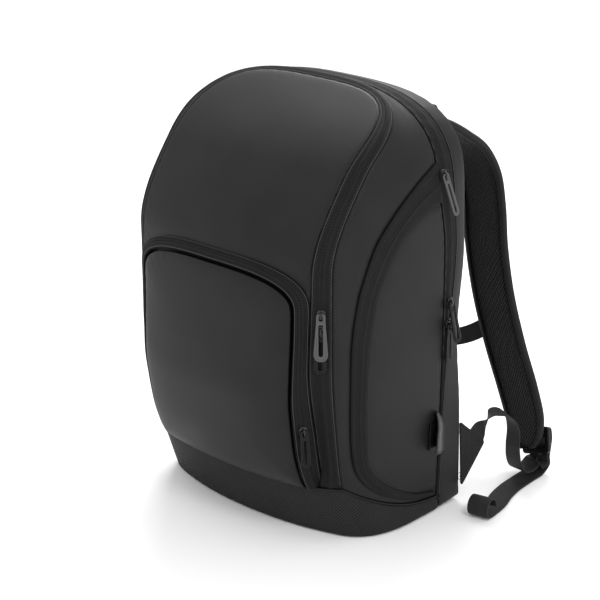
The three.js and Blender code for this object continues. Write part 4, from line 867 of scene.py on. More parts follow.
def sew_strip(name, k_from, k_to, columns, steps, seed, soft=0.5 * MM, rolled=ROLL_DEPTH, mound=0.0,
              dents=None):
    grid, normals, (across, along, distance) = shell_strip(k_from, k_to, columns, steps)
    near = np.minimum(distance, np.minimum(along, along[:, -1:] - along))
    lift = roll(near, rolled) + pucker(distance, along, seed=seed)
    lift = lift + slack(grid, 60 * MM, soft, seed) * (1 - np.exp(-near / (12 * MM)))
    if mound:
        lift = lift + coil_mound(across, across[-1], mound)
    if dents is not None:
        lift = lift + dents(grid)
    outer = grid + normals * lift[..., None]
    return wall(name, outer, grid - normals * SHELL_WALL, np.stack([along, across], -1),
                np.exp(-near / (4 * MM)))


def side_tape_edges(steps):
    return [np.stack([loose_values(SIDE_TAPE[:, first], steps) * BAG_DEPTH,
                      loose_values(SIDE_TAPE[:, first + 1], steps) * BAG_HEIGHT], -1) for first in (0, 2)]


def nearest(points, line):
    """Distance from each point to the nearest point of a line."""
    flat = points.reshape(-1, points.shape[-1])
    best = np.full(len(flat), np.inf)
    for start in range(0, len(line), 60):
        gaps = np.linalg.norm(flat[:, None] - line[None, start:start + 60], axis=-1)
        best = np.minimum(best, gaps.min(1))
    return best.reshape(points.shape[:-1])


def side_dents(grid):
    """The side panel dips where the tape band is let in."""
    front, rear = side_tape_edges(160)
    depth_and_height = grid[..., 1:3]
    dip = np.exp(-nearest(depth_and_height, front) / (2.6 * MM))
    dip = np.maximum(dip, np.exp(-nearest(depth_and_height, rear) / (2.6 * MM)))
    on_side = np.clip((np.abs(grid[..., 0]) - 0.11) / 0.02, 0, 1)
    return -1.1 * MM * dip * on_side


def base_front(x):
    """Depth of the boot's front rim."""
    corner = seam_point(SIDE, np.array([0.0]))[0]
    return corner[1] - 0.0995 * BAG_DEPTH * (1 - np.abs(x / corner[0]) ** 4.5)


def tape_foot(grid):
    """The front tape leans out at its foot until it meets the boot's rim."""
    climb = grid[..., 2] - grid[0, 0, 2]
    gap = np.maximum(0, grid[..., 1] - base_front(grid[..., 0]))
    return gap * 0.9 * np.exp(-(climb / (18 * MM)) ** 2)


dress(sew_strip("main_cloth", SIDE, REAR_TAPE, 56, 460, 2.1, dents=side_dents), SHELL, "shell_cloth",
      "main_panel")
dress(sew_strip("front_tape", FRONT_TAPE, SIDE, 34, 460, 4.7, soft=0.2 * MM, rolled=1.1 * MM,
                mound=1.2 * MM, dents=tape_foot), TAPE, "zip_tape", "front_zip_band")
dress(sew_strip("rear_tape", REAR_TAPE, GUSSET, 22, 460, 7.3, soft=0.1 * MM, rolled=0.8 * MM,
                mound=0.8 * MM), TAPE, "zip_tape", "rear_zip_band")


# %% Panels filled in from four borders
def resampled(line, count):
    lengths = length_along(line)
    at = np.linspace(0, lengths[-1], count)
    return np.stack([np.interp(at, lengths, line[:, i]) for i in range(line.shape[1])], -1)


def patch(bottom, top, left, right, columns, rows):
    """Points (x, z) inside four borders; bottom and top run to +x, left and right run up."""
    bottom, top = resampled(bottom, columns), resampled(top, columns)
    left, right = resampled(left, rows), resampled(right, rows)
    u = np.linspace(0, 1, columns)[None, :, None]
    v = np.linspace(0, 1, rows)[:, None, None]
    corners = ((1 - u) * (1 - v) * bottom[0] + u * (1 - v) * bottom[-1] + (1 - u) * v * top[0]
               + u * v * top[-1])
    return (1 - v) * bottom + v * top + (1 - u) * left[:, None] + u * right[:, None] - corners


def base_seam_height(x):
    corner = seam_point(SIDE, np.array([0.0]))[0]
    return BASE_HEIGHT + BASE_CORNER_RISE * (x / corner[0]) ** 2


def foot_flare(x, z):
    corner = half_width(SEAMS[FRONT_TAPE], z) - POCKET_TAPE
    near = np.clip(1 - (z - BASE_HEIGHT) / (40 * MM), 0, 1) ** 2
    across = np.clip(1 - np.abs(x / corner) ** 6, 0, 1)
    gap = front_depth(x, BASE_HEIGHT) - base_front(x)
    return near * across * np.maximum(0, gap - BASE_WALL - POCKET_WALL)


def sew_patch(name, plan, depth, rim, thickness, seed, soft, columns, rows, dents=None):
    """plan holds the four borders in (x, z); depth gives y; rim is the border in space."""
    flat = patch(*plan, columns, rows)
    x, z = flat[..., 0], flat[..., 1]
    grid = np.stack([x, depth(x, z), z], -1)
    normals = -grid_normals(grid)
    distance = nearest(grid, rim)
    lift = roll(distance) + pucker(distance, x + z, seed=seed)
    lift = lift + slack(grid, 75 * MM, soft, seed) * (1 - np.exp(-distance / (15 * MM)))
    if dents is not None:
        lift = lift + dents(grid)
    uv = np.stack([x, z + (grid[..., 1] - grid[0, 0, 1]) * 0.6], -1)
    return wall(name, grid + normals * lift[..., None], grid - normals * thickness, uv,
                np.exp(-distance / (4 * MM)))


DOME_CORNER = 0.375


def front_cloth():
    def rim_line(start, end, count):
        points = seam_point(FRONT_TAPE, np.linspace(start, end, count))
        return points[:, [0, 2]]
    foot = seam_point(FRONT_TAPE, np.array([0.0]))[0]
    x = np.linspace(-foot[0], foot[0], 120)
    bottom = np.stack([x, base_seam_height(x)], -1)
    left, right = rim_line(1, 1 - DOME_CORNER, 200), rim_line(0, DOME_CORNER, 200)
    left[0], right[0] = bottom[0], bottom[-1]
    top = rim_line(1 - DOME_CORNER, DOME_CORNER, 200)
    outline = np.concatenate([bottom, right, top[::-1], left[::-1]])

    def depth(a, b):
        return front_depth(a, b) - foot_flare(a, b)
    rim = np.stack([outline[:, 0], depth(outline[:, 0], outline[:, 1]), outline[:, 1]], -1)
    return sew_patch("front_cloth", (bottom, top, left, right), depth, resampled(rim, 600), SHELL_WALL, 9.4,
                     0.9 * MM, 130, 190)


dress(front_cloth(), SHELL, "shell_cloth", "front_panel")

# %% [markdown]
# ## The front pocket
# It stands out from the dome on a band of tape, and bulges like a pillow between its seams.

# %% Pocket outline and depth
def pocket_half(z, edge):
    if edge == "outer":
        return half_width(SEAMS[FRONT_TAPE], z) - GAP
    shoulder = half_width(SEAMS[FRONT_TAPE], np.array(POCKET_SHOULDER))
    return (half_width(SEAMS[FRONT_TAPE], np.minimum(z, POCKET_SHOULDER)) * 0.35 + 0.65 * shoulder
            - POCKET_TAPE)


def pocket_outline(edge, side_steps=90, dome_steps=90):
    """(x, z) from the right foot over the top to the left foot."""
    drop = 0 if edge == "outer" else POCKET_TAPE * 0.8
    shoulder, top = POCKET_SHOULDER - drop * 0.4, POCKET_HEIGHT - drop
    foot_x = pocket_half(np.array(BASE_HEIGHT), edge)
    foot = base_seam_height(foot_x) + 0.45 * MM
    z = np.linspace(foot, shoulder, side_steps, endpoint=False)
    side = np.stack([pocket_half(z, edge), z], -1)
    angle = np.linspace(0, math.pi / 2, dome_steps)
    cos, sin = np.maximum(0, np.cos(angle)), np.sin(angle)
    size = (cos ** POCKET_ROUNDNESS + sin ** POCKET_ROUNDNESS) ** (1 / POCKET_ROUNDNESS)
    dome = np.stack([pocket_half(np.array(shoulder), edge) * cos / size,
                     shoulder + (top - shoulder) * sin / size], -1)
    right = np.concatenate([side, dome])
    return np.concatenate([right, right[-2::-1] * (-1, 1)])


def pocket_front(x, z, rise=0.0):
    return front_depth(x, z) - pocket_lift(z) - POCKET_CROWN * rise


# %% Pocket panel
def pocket_cloth():
    inset = 1 - (POCKET_WALL + 2 * GAP) / float(pocket_half(np.array(POCKET_SHOULDER), "inner"))
    centre = np.array([0, BAG_HEIGHT * 0.38])
    outline = pocket_outline("inner")
    scaled = centre + (outline - centre) * inset
    outline = np.stack([outline[:, 0] * inset, np.minimum(outline[:, 1], scaled[:, 1])], -1)
    half = len(outline) // 2
    corner = int(half * 0.76)
    right, left = outline[:corner + 1], outline[::-1][:corner + 1]
    top = outline[corner:len(outline) - corner][::-1]
    x = np.linspace(left[0, 0], right[0, 0], 120)
    bottom = np.stack([x, base_seam_height(x) + 0.45 * MM], -1)
    loop = np.concatenate([bottom, right, top[::-1], left[::-1]])
    around = loop - centre
    order = np.argsort(np.arctan2(around[:, 1], around[:, 0]))
    turns = np.arctan2(around[:, 1], around[:, 0])[order]
    radii = np.linalg.norm(around, axis=1)[order]

    def depth(a, b):
        angle = np.arctan2(b - centre[1], a - centre[0])
        reach = np.interp(angle, turns, radii, period=2 * math.pi)
        ring = np.clip(np.hypot(a, b - centre[1]) / reach, 0, 1)
        return pocket_front(a, b, np.sqrt(np.maximum(0, 1 - ring ** 4)))
    rim = np.stack([loop[:, 0], depth(loop[:, 0], loop[:, 1]), loop[:, 1]], -1)
    return sew_patch("pocket_cloth", (bottom, top, left, right), depth, resampled(rim, 600), POCKET_WALL, 3.3,
                     1.0 * MM, 120, 130)


dress(pocket_cloth(), SHELL, "shell_cloth", "pocket_panel")


# %% Pocket tape band
def pocket_band_lines(rows):
    """Lines of the band from its seat on the dome to the pocket's rim, and the way out of it."""
    outer, inner = pocket_outline("outer"), pocket_outline("inner")
    seat = np.stack([outer[:, 0], front_depth(outer[:, 0], outer[:, 1]) - 2 * GAP, outer[:, 1]], -1)
    rim = np.stack([inner[:, 0], pocket_front(inner[:, 0], inner[:, 1]), inner[:, 1]], -1)
    along = np.gradient(outer, axis=0)
    along = np.stack([along[:, 0], 0 * along[:, 0], along[:, 1]], -1)
    out = unit(np.cross(along, rim - seat))
    out = out * np.where(out[:, 1:2] > 0, -1, 1)
    lines = []
    for share in np.linspace(0, 1, rows):
        bow = POCKET_TAPE * 0.12 * np.sin(math.pi * min(1, share * 1.05)) ** 0.7
        lines.append(seat + (rim - seat) * share + out * bow)
    return np.stack(lines), out


def pocket_tape():
    grid, out = pocket_band_lines(22)
    across, along, distance = measured(grid, 10)
    lift = roll(distance, 0.8 * MM, 2 * MM) + coil_mound(across, across[-1], 0.8 * MM, 2 * MM)
    outer = grid + out[None] * lift[..., None]
    inner = grid - out[None] * POCKET_WALL
    return wall("pocket_tape", outer, inner, np.stack([along, across], -1), np.exp(-distance / (3 * MM)))


dress(pocket_tape(), TAPE, "zip_tape", "pocket_zip_band")


# %% [markdown]
# ## The base, the gusset and the side bands
# The base is a boot: a floor, a rounded foot and a wall that leans in a little. The gusset is a closed
# ring behind the rear zip, and the side bands are tapes let into the side panel.

# %% Base boot
def base_rim(side_steps=70, front_steps=190):
    """The boot's upper edge, from the right rear corner round the front to the left one."""
    corner = seam_point(SIDE, np.array([0.0]))[0]
    ks = np.linspace(REAR_TAPE, SIDE, side_steps)
    side = np.concatenate([seam_point(GUSSET, np.array([0.0])), side_hull(ks, np.zeros(side_steps))])
    x = corner[0] * np.cos(np.linspace(0, math.pi, front_steps))
    front = np.stack([x, base_front(x), base_seam_height(x)], -1)
    return np.concatenate([side, front[1:-1], side[::-1] * (-1, 1, 1)])


def base_foot(rim):
    """The boot's outline on the floor: more bowed than its rim, and cut wide at the corners."""
    corner, rear = (seam_point(seam, np.array([0.0]))[0] for seam in (SIDE, REAR_TAPE))
    x, y, power, corner_share = np.abs(rim[:, 0]), rim[:, 1], 2.2, 0.3
    ahead = np.array([corner[0] - FOOT_CUT, base_front(0.0) + FOOT_SETBACK + FOOT_BOW])
    reach = FOOT_REACH / (rear[1] - corner[1])
    behind = side_hull(np.array([SIDE + reach]), np.array([0.0]))[0, :2]
    spread = FOOT_SPREAD * np.clip((rear[1] - y) / (rear[1] - behind[1]), 0, 1)
    behind[0] += FOOT_SPREAD
    slope = FOOT_BOW * power / ahead[0]
    knee = np.array([behind[0], ahead[1] + slope * (behind[0] - ahead[0])])
    beside = np.clip((x - ahead[0]) / FOOT_CUT, 0, 1)
    beyond = np.clip((y - corner[1]) / FOOT_REACH, 0, 1)
    share = np.where(beyond > 0, corner_share + (1 - corner_share) * beyond, beside * corner_share)[:, None]
    cut = ahead * (1 - share) ** 2 + knee * 2 * share * (1 - share) + behind * share ** 2
    front, side = x < ahead[0], y > behind[1]
    foot = rim.copy()
    foot[:, 0] = np.sign(rim[:, 0]) * np.where(front, x, np.where(side, x + spread, cut[:, 0]))
    foot[:, 1] = np.where(front, ahead[1] - FOOT_BOW * (1 - (x / ahead[0]) ** power),
                          np.where(side, y, cut[:, 1]))
    return foot


def base_cloth():
    rim = base_rim()
    rear = rim[0, 1] - 2 * GAP
    rim[0, 1] = rim[-1, 1] = rear
    outline = base_foot(rim)
    along = np.gradient(outline, axis=0)
    out = unit(np.stack([-along[:, 1], along[:, 0], 0 * along[:, 0]], -1))
    out = out * np.where(np.sum(out * (rim - (0, rear, 0)), -1, keepdims=True) < 0, -1, 1)
    out[0], out[-1] = (1, 0, 0), (-1, 0, 0)
    rounding = np.minimum(BASE_ROUND, rim[:, 2:] * 0.45)
    for _ in range(6):
        out[1:-1] = unit(out[:-2] + out[1:-1] * 2 + out[2:])
    foot = outline * (1, 1, 0)
    rows = []
    inside = foot - out * rounding
    inside[0, 1] = inside[-1, 1] = rear
    for share in (0.01, 0.25, 0.5, 0.75, 0.9):
        rows.append(np.array([0, rear, 0]) * (1 - share) + inside * share)
    for turn in np.linspace(0, math.pi / 2, 14):
        row = foot - out * rounding * (1 - math.sin(turn))
        row[:, 2] = (rounding * (1 - math.cos(turn)))[:, 0]
        rows.append(row)
    low = rows[-1]
    for share in 1 - (1 - np.linspace(0, 1, 34)[1:]) ** 1.3:
        rows.append(low + (rim - low) * share)
    grid = np.stack(rows)
    grid[:, 0, 1] = grid[:, -1, 1] = rear
    normals = grid_normals(grid)
    normals = normals * np.where(np.sum(normals[-4] * out, -1)[None, :, None] < 0, -1, 1)
    normals[:5] = (0, 0, -1)
    down = width_across(grid[::-1])[::-1]
    around = np.tile(length_along(rim), (len(grid), 1))
    lift = roll(down, 1.2 * MM) + pucker(down, around, seed=5.1) * np.clip(grid[..., 2] / 0.02, 0, 1)
    lift = lift + slack(grid, 50 * MM, 0.8 * MM, 6.6) * np.clip(grid[..., 2] / 0.03, 0, 1)
    return wall("base_cloth", grid + normals * lift[..., None], grid - normals * BASE_WALL,
                np.stack([around, down], -1), np.exp(-down / (4 * MM)))


dress(base_cloth(), BASE, "base_cloth", "base_boot")


# %% Rear gusset
def closed_rim(k, steps=420, corner_steps=8, foot_steps=60):
    """The whole ring of a rear seam: up, over and down, then along the floor."""
    ring = hull(k, np.linspace(0, 1, steps))
    foot = ring[0]
    lift = (k - GUSSET) * 3.5 * MM
    rounding = (foot[2] - lift) / 2
    turn = np.linspace(math.pi / 2, 0, corner_steps)
    corner = np.stack([foot[0] - rounding * (1 - np.sin(turn)), 0 * turn + foot[1],
                       lift + rounding * (1 - np.cos(turn))], -1)
    x = np.linspace(-corner[-1, 0], corner[-1, 0], foot_steps)[1:-1]
    floor_line = np.stack([x, 0 * x + foot[1], 0 * x + lift], -1)
    return np.concatenate([ring, corner * (-1, 1, 1), floor_line, corner[::-1]])


def into_ring(ring):
    """Directions into the ring, in its plane."""
    along = np.roll(ring, -1, 0) - np.roll(ring, 1, 0)
    return unit(np.stack([-along[:, 2], 0 * along[:, 0], along[:, 0]], -1))


def gusset_cloth():
    ks = np.linspace(GUSSET + 0.004, BACK - 0.004, 20)
    grid = np.stack([closed_rim(float(k)) for k in ks])
    inward = np.stack([into_ring(row) for row in grid])
    across, along, near = measured(grid, 10)
    lift = roll(near, 1.0 * MM, 2.4 * MM) + pucker(near, along, seed=1.2)
    lift = lift + slack(grid, 60 * MM, 0.4 * MM, 8.8)
    lift = lift * np.clip(grid[..., 2] / 0.02, 0, 1)
    return wall("gusset_cloth", grid - inward * lift[..., None], grid + inward * SHELL_WALL,
                np.stack([along, across], -1), np.exp(-near / (4 * MM)), wraps=True)


dress(gusset_cloth(), SHELL, "shell_cloth", "rear_gusset")


# %% Side tape band
def side_tape_grid(rows, columns):
    front, rear = side_tape_edges(columns)
    share = np.linspace(0, 1, rows)[:, None, None]
    flat = front + (rear - front) * share
    k, s = place_on_side(flat[..., 0].ravel(), flat[..., 1].ravel())
    k = np.minimum(k, REAR_TAPE - 0.012)
    shape = (rows, columns, 3)
    return side_hull(k, s).reshape(shape), side_normal(k, s).reshape(shape)


def side_tape():
    grid, out = side_tape_grid(17, 320)
    across, along, near = measured(grid, 8)
    width = across[-1]
    lift = GAP + TAPE_SEAT + TAPE_WALL * 0.6 + roll(near, 0.9 * MM, 1.6 * MM)
    ridge = coil_mound(across, width, 0.8 * MM, 2 * MM) * np.clip((width - 6 * MM) / (8 * MM), 0, 1)
    outer = grid + out * (lift + ridge)[..., None]
    inner = grid + out * (GAP + TAPE_SEAT - 0.9 * MM)
    return wall("side_tape_right", outer, inner, np.stack([along, across], -1), np.exp(-near / (2 * MM)))


side_band = dress(side_tape(), TAPE, "zip_tape", "side_zip_band_right")
other_side(side_band, "zip_tape", "side_zip_band_left")


# %% [markdown]
# ## Seams
# Beside the zip seams the turned cloth shows as a thin welt, coloured paler than the cloth as a painted
# highlight along its crest, and a row of stitches holds it down. The zips get their row of coil teeth,
# with stitches on both sides of it.

# %% Lines along the seams
def beside(seam, towards, s, distance, above=0.1 * MM):
    """A line at a distance from a seam, on the panel towards another seam, with its way out."""
    ks = seam + (towards - seam) * np.linspace(0, 0.6, 50)
    grid = np.stack([hull(float(k), s) for k in ks])
    out = grid_normals(grid) * (1 if towards > seam else -1)
    lengths = width_across(grid)
    points, outs = [], []
    for i in range(len(s)):
        at = np.interp(distance, lengths[:, i], np.arange(50))
        low = min(int(at), 48)
        share = at - low
        points.append(grid[low, i] * (1 - share) + grid[low + 1, i] * share)
        outs.append(out[low, i])
    outs = np.array(outs)
    return np.array(points) + outs * (above + roll(distance)), outs


def mid_band(k_from, k_to, s, above, share=0.5):
    k = k_from + (k_to - k_from) * share
    out = hull_normal(k, s, 0.2)
    return hull(k, s) + out * above, out


everywhere = np.linspace(0.004, 0.996, 900)
# These welts carry the painted highlight of the welt finish.
welts("shell_welts", [beside(seam, towards, everywhere, distance * MM) for seam, towards, distance in
                      ((FRONT_TAPE, SIDE, 1.7), (SIDE, FRONT_TAPE, 1.7), (REAR_TAPE, GUSSET, 1.5),
                       (GUSSET, BACK, 1.7))], 0.5 * MM, "shell_cloth", WELT_HIGHLIGHT)
base_line = base_rim()
base_out = unit(base_line * (1, 1, 0) - np.array([0, 0.02, 0]))
welts("base_welt", [(base_line - base_out * 0.3 * MM + (0, 0, 0.2 * MM), base_out)], 1.0 * MM, "shell_cloth")
stitches("shell_stitches", [beside(SIDE, REAR_TAPE, everywhere, 4.2 * MM),
                            beside(REAR_TAPE, SIDE, everywhere, 4.2 * MM),
                            beside(FRONT_TAPE, -1, everywhere, 4.0 * MM)], "shell_cloth")
stitches("tape_stitches", [beside(FRONT_TAPE, SIDE, everywhere, 3.4 * MM),
                           beside(SIDE, FRONT_TAPE, everywhere, 3.4 * MM),
                           beside(REAR_TAPE, GUSSET, everywhere, 2.6 * MM, -0.2 * MM)], "zip_tape")
zip_teeth("zip_teeth", [mid_band(FRONT_TAPE, SIDE, everywhere, 0.75 * MM),
                        mid_band(REAR_TAPE, GUSSET, everywhere, 0.4 * MM)], 1.1 * MM)
stitches("coil_stitches", [mid_band(FRONT_TAPE, SIDE, everywhere, 0.6 * MM, share) for share in (0.4, 0.6)]
         + [mid_band(REAR_TAPE, GUSSET, everywhere, 0.2 * MM, share) for share in (0.34, 0.66)],
         "zip_tape", pitch=2.9 * MM, length=1.5 * MM)


# %% Pocket seams and teeth
def pocket_rim_line(share, above):
    grid, out = pocket_band_lines(11)
    at = share * 10
    low = min(int(at), 9)
    return grid[low] + (grid[low + 1] - grid[low]) * (at - low) + out * above, out


# These welts carry the painted highlight of the welt finish.
welts("pocket_welts", [pocket_rim_line(0.07, 0.2 * MM), pocket_rim_line(0.93, 0.1 * MM)], 0.5 * MM,
      "shell_cloth", WELT_HIGHLIGHT)
zip_teeth("pocket_teeth", [pocket_rim_line(0.5, 0.5 * MM)])
stitches("pocket_stitches", [pocket_rim_line(share, 0.3 * MM) for share in (0.2, 0.39, 0.61, 0.82)],
         "zip_tape", pitch=2.9 * MM, length=1.7 * MM)


# %% Side band teeth and stitches
def side_line(share, above, first, last):
    front, rear = side_tape_edges(400)
    flat = (front + (rear - front) * share)[first:last]
    k, s = place_on_side(flat[:, 0], flat[:, 1])
    k = np.minimum(k, REAR_TAPE - 0.012)
    out = side_normal(k, s)
    return side_hull(k, s) + out * above, out


other_side(zip_teeth("side_teeth_right", [side_line(0.5, 2.4 * MM, 4, 300)]), "zip_tape")
side_edges = [side_line(share, 2.1 * MM, 3, 330) for share in (0.16, 0.42, 0.58, 0.84)]
other_side(stitches("side_stitches_right", side_edges, "zip_tape"), "zip_tape")


# %% [markdown]
# ## Small hard parts
# Sliders, pulls, the strap lock and the buckle are flat mouldings: an outline with holes, a thickness
# and a rounded edge. Each is drawn flat first and then set in its place on the bag.

# %% Flat mouldings
def moulding(outlines, thickness, rounding):
    """A mesh from outlines in metres, lying in x and y from z = 0 to the thickness."""
    curve = bpy.data.curves.new("outline", "CURVE")
    curve.dimensions = "2D"
    curve.fill_mode = "BOTH"
    curve.extrude = thickness / 2 - rounding
    curve.bevel_depth = rounding
    curve.bevel_resolution = 2
    for outline in outlines:
        spline = curve.splines.new("POLY")
        spline.points.add(len(outline) - 1)
        for point, (x, y) in zip(spline.points, outline):
            point.co = (x, y, 0, 1)
        spline.use_cyclic_u = True
    holder = bpy.data.objects.new("outline", curve)
    bpy.context.scene.collection.objects.link(holder)
    mesh = as_mesh(holder)
    bpy.data.objects.remove(holder)
    return positions(mesh) + (0, 0, thickness / 2), [tuple(face.vertices) for face in mesh.polygons]


def softened(corners, radius, steps=5):
    """An outline whose corners are rounded."""
    corners = np.array(corners, float)
    made = []
    for i, corner in enumerate(corners):
        before, after = corners[i - 1], corners[(i + 1) % len(corners)]
        reach = min(radius, np.linalg.norm(before - corner) * 0.45, np.linalg.norm(after - corner) * 0.45)
        start = corner + (before - corner) / np.linalg.norm(before - corner) * reach
        end = corner + (after - corner) / np.linalg.norm(after - corner) * reach
        for t in np.linspace(0, 1, steps):
            made.append(start * (1 - t) ** 2 + corner * 2 * t * (1 - t) + end * t ** 2)
    return np.array(made)


def both_edges(points, radius, steps=5):
    """A softened outline that is the same on both sides of the x axis."""
    return softened(points + [(x, -y) for x, y in points[::-1]], radius, steps)


def softened_box(w, h, radius, steps=5):
    """A rectangle with rounded corners; w and h are its half sizes."""
    return softened([(-w, -h), (w, -h), (w, h), (-w, h)], radius, steps)


def ring_wire(points, radius, sides):
    """A round wire along points: its vertices and faces."""
    along = unit(np.gradient(points, axis=0))
    side = unit(np.cross(along, (0.0, 1.0, 0.0)))
    other = np.cross(along, side)
    turn = np.linspace(0, 2 * math.pi, sides, endpoint=False)
    ring = (points[:, None] + radius * (np.cos(turn)[None, :, None] * side[:, None]
                                        + np.sin(turn)[None, :, None] * other[:, None]))
    return ring.reshape(-1, 3), tube_faces(len(points), sides)


def lifted(shape, height):
    return shape[0] + (0, 0, height), shape[1]


def together(*shapes):
    """Several shapes as one: vertices and faces."""
    points, faces = [], []
    for shape_points, shape_faces in shapes:
        first = sum(len(part) for part in points)
        points.append(shape_points)
        faces += [tuple(first + v for v in face) for face in shape_faces]
    return np.concatenate(points), faces


FACING_BACK = (np.array([-1.0, 0, 0]), np.array([0, 0, 1.0]), np.array([0, 1.0, 0]))


def set_in_place(name, shape, x_axis, y_axis, z_axis, origin):
    points, faces = shape
    placed = points @ np.array([x_axis, y_axis, z_axis]) + origin
    piece = solid(name, placed, faces, uv=points[:, :2])
    piece.data.update()
    tidy = bmesh.new()
    tidy.from_mesh(piece.data)
    bmesh.ops.remove_doubles(tidy, verts=tidy.verts, dist=0.01 * MM)
    bmesh.ops.recalc_face_normals(tidy, faces=tidy.faces)
    tidy.to_mesh(piece.data)
    tidy.free()
    piece.data.set_sharp_from_angle(angle=math.radians(50))
    return piece


# %% Zip sliders
SLIDER_LENGTH, SLIDER_WIDTH, SLIDER_THICKNESS = 12 * MM, 8.4 * MM, 2.9 * MM
BRIDGE_WIDTH = 2.6 * MM
PULL_THICKNESS, PULL_BAR = 1.5 * MM, 1.5 * MM


def slider_shape():
    """Two plates held by a post, with the bridge that the pull hangs on; x runs down the zip."""
    half, end = SLIDER_WIDTH / 2, SLIDER_LENGTH / 2
    plan = both_edges([(-end, -half * 0.85), (-end * 0.2, -half), (end * 0.35, -half), (end, -half * 0.6)],
                      2.2 * MM)
    low = moulding([plan], 1.0 * MM, 0.3 * MM)
    high = moulding([plan * 0.97], 1.1 * MM, 0.4 * MM)
    post = moulding([both_edges([(-3.4 * MM, -2 * MM), (4 * MM, -1.4 * MM)], 1 * MM)], 1.4 * MM, 0.1 * MM)
    room = PULL_THICKNESS + 3 * GAP
    turn = np.linspace(0, math.pi, 15)
    arch = np.stack([-4.0 * MM * np.cos(turn), 0 * turn,
                     SLIDER_THICKNESS - 0.5 * MM + (room + 1.15 * MM) * np.sin(turn) ** 0.55], -1)
    bridge = ring_wire(arch, 0.62 * MM, 8)
    return together(low, lifted(post, 0.8 * MM), lifted(high, SLIDER_THICKNESS - 1.1 * MM),
                    (bridge[0] * (1, 1.7, 1), bridge[1]))


def pull_shape(length, top_width, end_width, slot_width):
    """A framed tab with an eye for the bridge and a long slot; a raised rib runs round its edge."""
    eye_end, round_end = 7.4 * MM, end_width * 0.34

    def outline(shrink):
        return both_edges([(-PULL_BAR + shrink, -top_width / 2 + shrink), (eye_end, -top_width / 2 + shrink),
                           (length - round_end, -end_width / 2 + shrink), (length - shrink, -end_width / 4)],
                          3 * MM, 6)
    eye_half = BRIDGE_WIDTH / 2 + 0.9 * MM
    eye = softened([(0, -eye_half), (0, eye_half), (eye_end - 1.2 * MM, eye_half),
                    (eye_end - 1.2 * MM, -eye_half)], 1.4 * MM)
    slot = softened([(eye_end + 2 * MM, -slot_width / 2), (eye_end + 2 * MM, slot_width / 2),
                     (length - round_end - 1 * MM, slot_width / 2), (length - round_end + 1 * MM, 0),
                     (length - round_end - 1 * MM, -slot_width / 2)], 1.6 * MM)
    middle = np.array([(eye_end + 2 * MM + length - round_end) / 2, 0])
    wide_slot = middle + (slot - middle) * (1.1, 1.45)
    plate = moulding([outline(0.45 * MM), eye, slot], PULL_THICKNESS * 0.72, 0.3 * MM)
    rib = moulding([outline(0.35 * MM), outline(1.5 * MM)[::-1]], PULL_THICKNESS, 0.3 * MM)
    lip = moulding([wide_slot, slot[::-1]], PULL_THICKNESS * 0.95, 0.25 * MM)
    return together(plate, rib, lip)


SLIDERS = [
    dict(name="front_upper", k=0.5, height=0.5616, rise=0, lean=2, lift=9.5, length=47, width=15, slot=5.4),
    dict(name="front_lower", k=0.5, height=0.5248, rise=0, lean=0, lift=-2.5, length=46, width=14, slot=5),
    dict(name="rear_top", k=2.12, height=0.8186, rise=2.2, lean=8, lift=4, length=45, width=9, slot=3.6),
    dict(name="rear_mid", k=2.5, height=0.514, rise=0, lean=3, lift=14, length=43, width=12, slot=5),
    dict(name="rear_low", k=2.5, height=0.4644, rise=0, lean=5, lift=-1.5, length=42, width=11, slot=4),
]
POCKET_SLIDER = dict(name="pocket", rise=0, lean=-4, lift=3, length=41, width=11, slot=3.6)
RUBBER_PULLS = ("front_upper", "rear_top")


def turned(vector, axis, degrees):
    angle = math.radians(degrees)
    return (vector * math.cos(angle) + np.cross(axis, vector) * math.sin(angle)
            + axis * float(axis @ vector) * (1 - math.cos(angle)))


def hang_slider(row, point, down, out):
    across = unit(np.cross(out, down))
    seat = point + out * (GAP + row["rise"] * MM)
    name = row["name"]
    body = set_in_place(f"{name}_slider_metal", slider_shape(), down, across, out, seat)
    dress(body, METAL, "black_metal", f"{name}_slider")
    leaned = turned(down, out, row["lean"])
    side = unit(np.cross(out, leaned))
    raised = turned(leaned, side, -row["lift"])
    face = unit(np.cross(raised, side))
    dip = PULL_BAR * math.sin(math.radians(max(0, row["lift"])))
    eye = seat + out * (SLIDER_THICKNESS + GAP + dip) + down * (-0.9 if row["lift"] > 0 else 0.4) * MM
    shape = pull_shape(row["length"] * MM, min(row["width"], 9.5) * MM, row["width"] * MM, row["slot"] * MM)
    pull = set_in_place(f"{name}_pull_tab", shape, raised, side, face, eye)
    rubber = name in RUBBER_PULLS
    dress(pull, RUBBER if rubber else PLASTIC, "pull_rubber" if rubber else "black_plastic", f"{name}_pull")


for row in SLIDERS:
    at = climb_to(row["k"], row["height"] * BAG_HEIGHT)
    point = hull(row["k"], at)[0]
    down = unit(hull(row["k"], at - 0.01)[0] - hull(row["k"], at + 0.01)[0])
    out = hull_normal(row["k"], at, 0.2)[0]
    out = unit(out - down * float(out @ down))
    hang_slider(row, point, down, out)


def pocket_band_middle(z):
    outer_x, inner_x = pocket_half(np.array(z), "outer"), pocket_half(np.array(z), "inner")
    outer = np.array([outer_x, front_depth(outer_x, z) - GAP, z])
    inner = np.array([inner_x, pocket_front(inner_x, z), z])
    return outer + (inner - outer) * 0.55 + (0, -1.2 * MM, 0), inner - outer


slider_height = POCKET_HEIGHT * 0.434
middle, across = pocket_band_middle(slider_height)
down = unit(pocket_band_middle(slider_height - 6 * MM)[0] - pocket_band_middle(slider_height + 6 * MM)[0])
out = unit(np.cross(across, down))
out = out if out[1] < 0 else -out
hang_slider(POCKET_SLIDER, middle + out * 1 * MM, down, out)


# %% [markdown]
# ## Cable port and its hood
# A small plate with a socket sits on the side, under a leathery hood that is sewn down along its rear
# edge and opens towards the front and the ground.

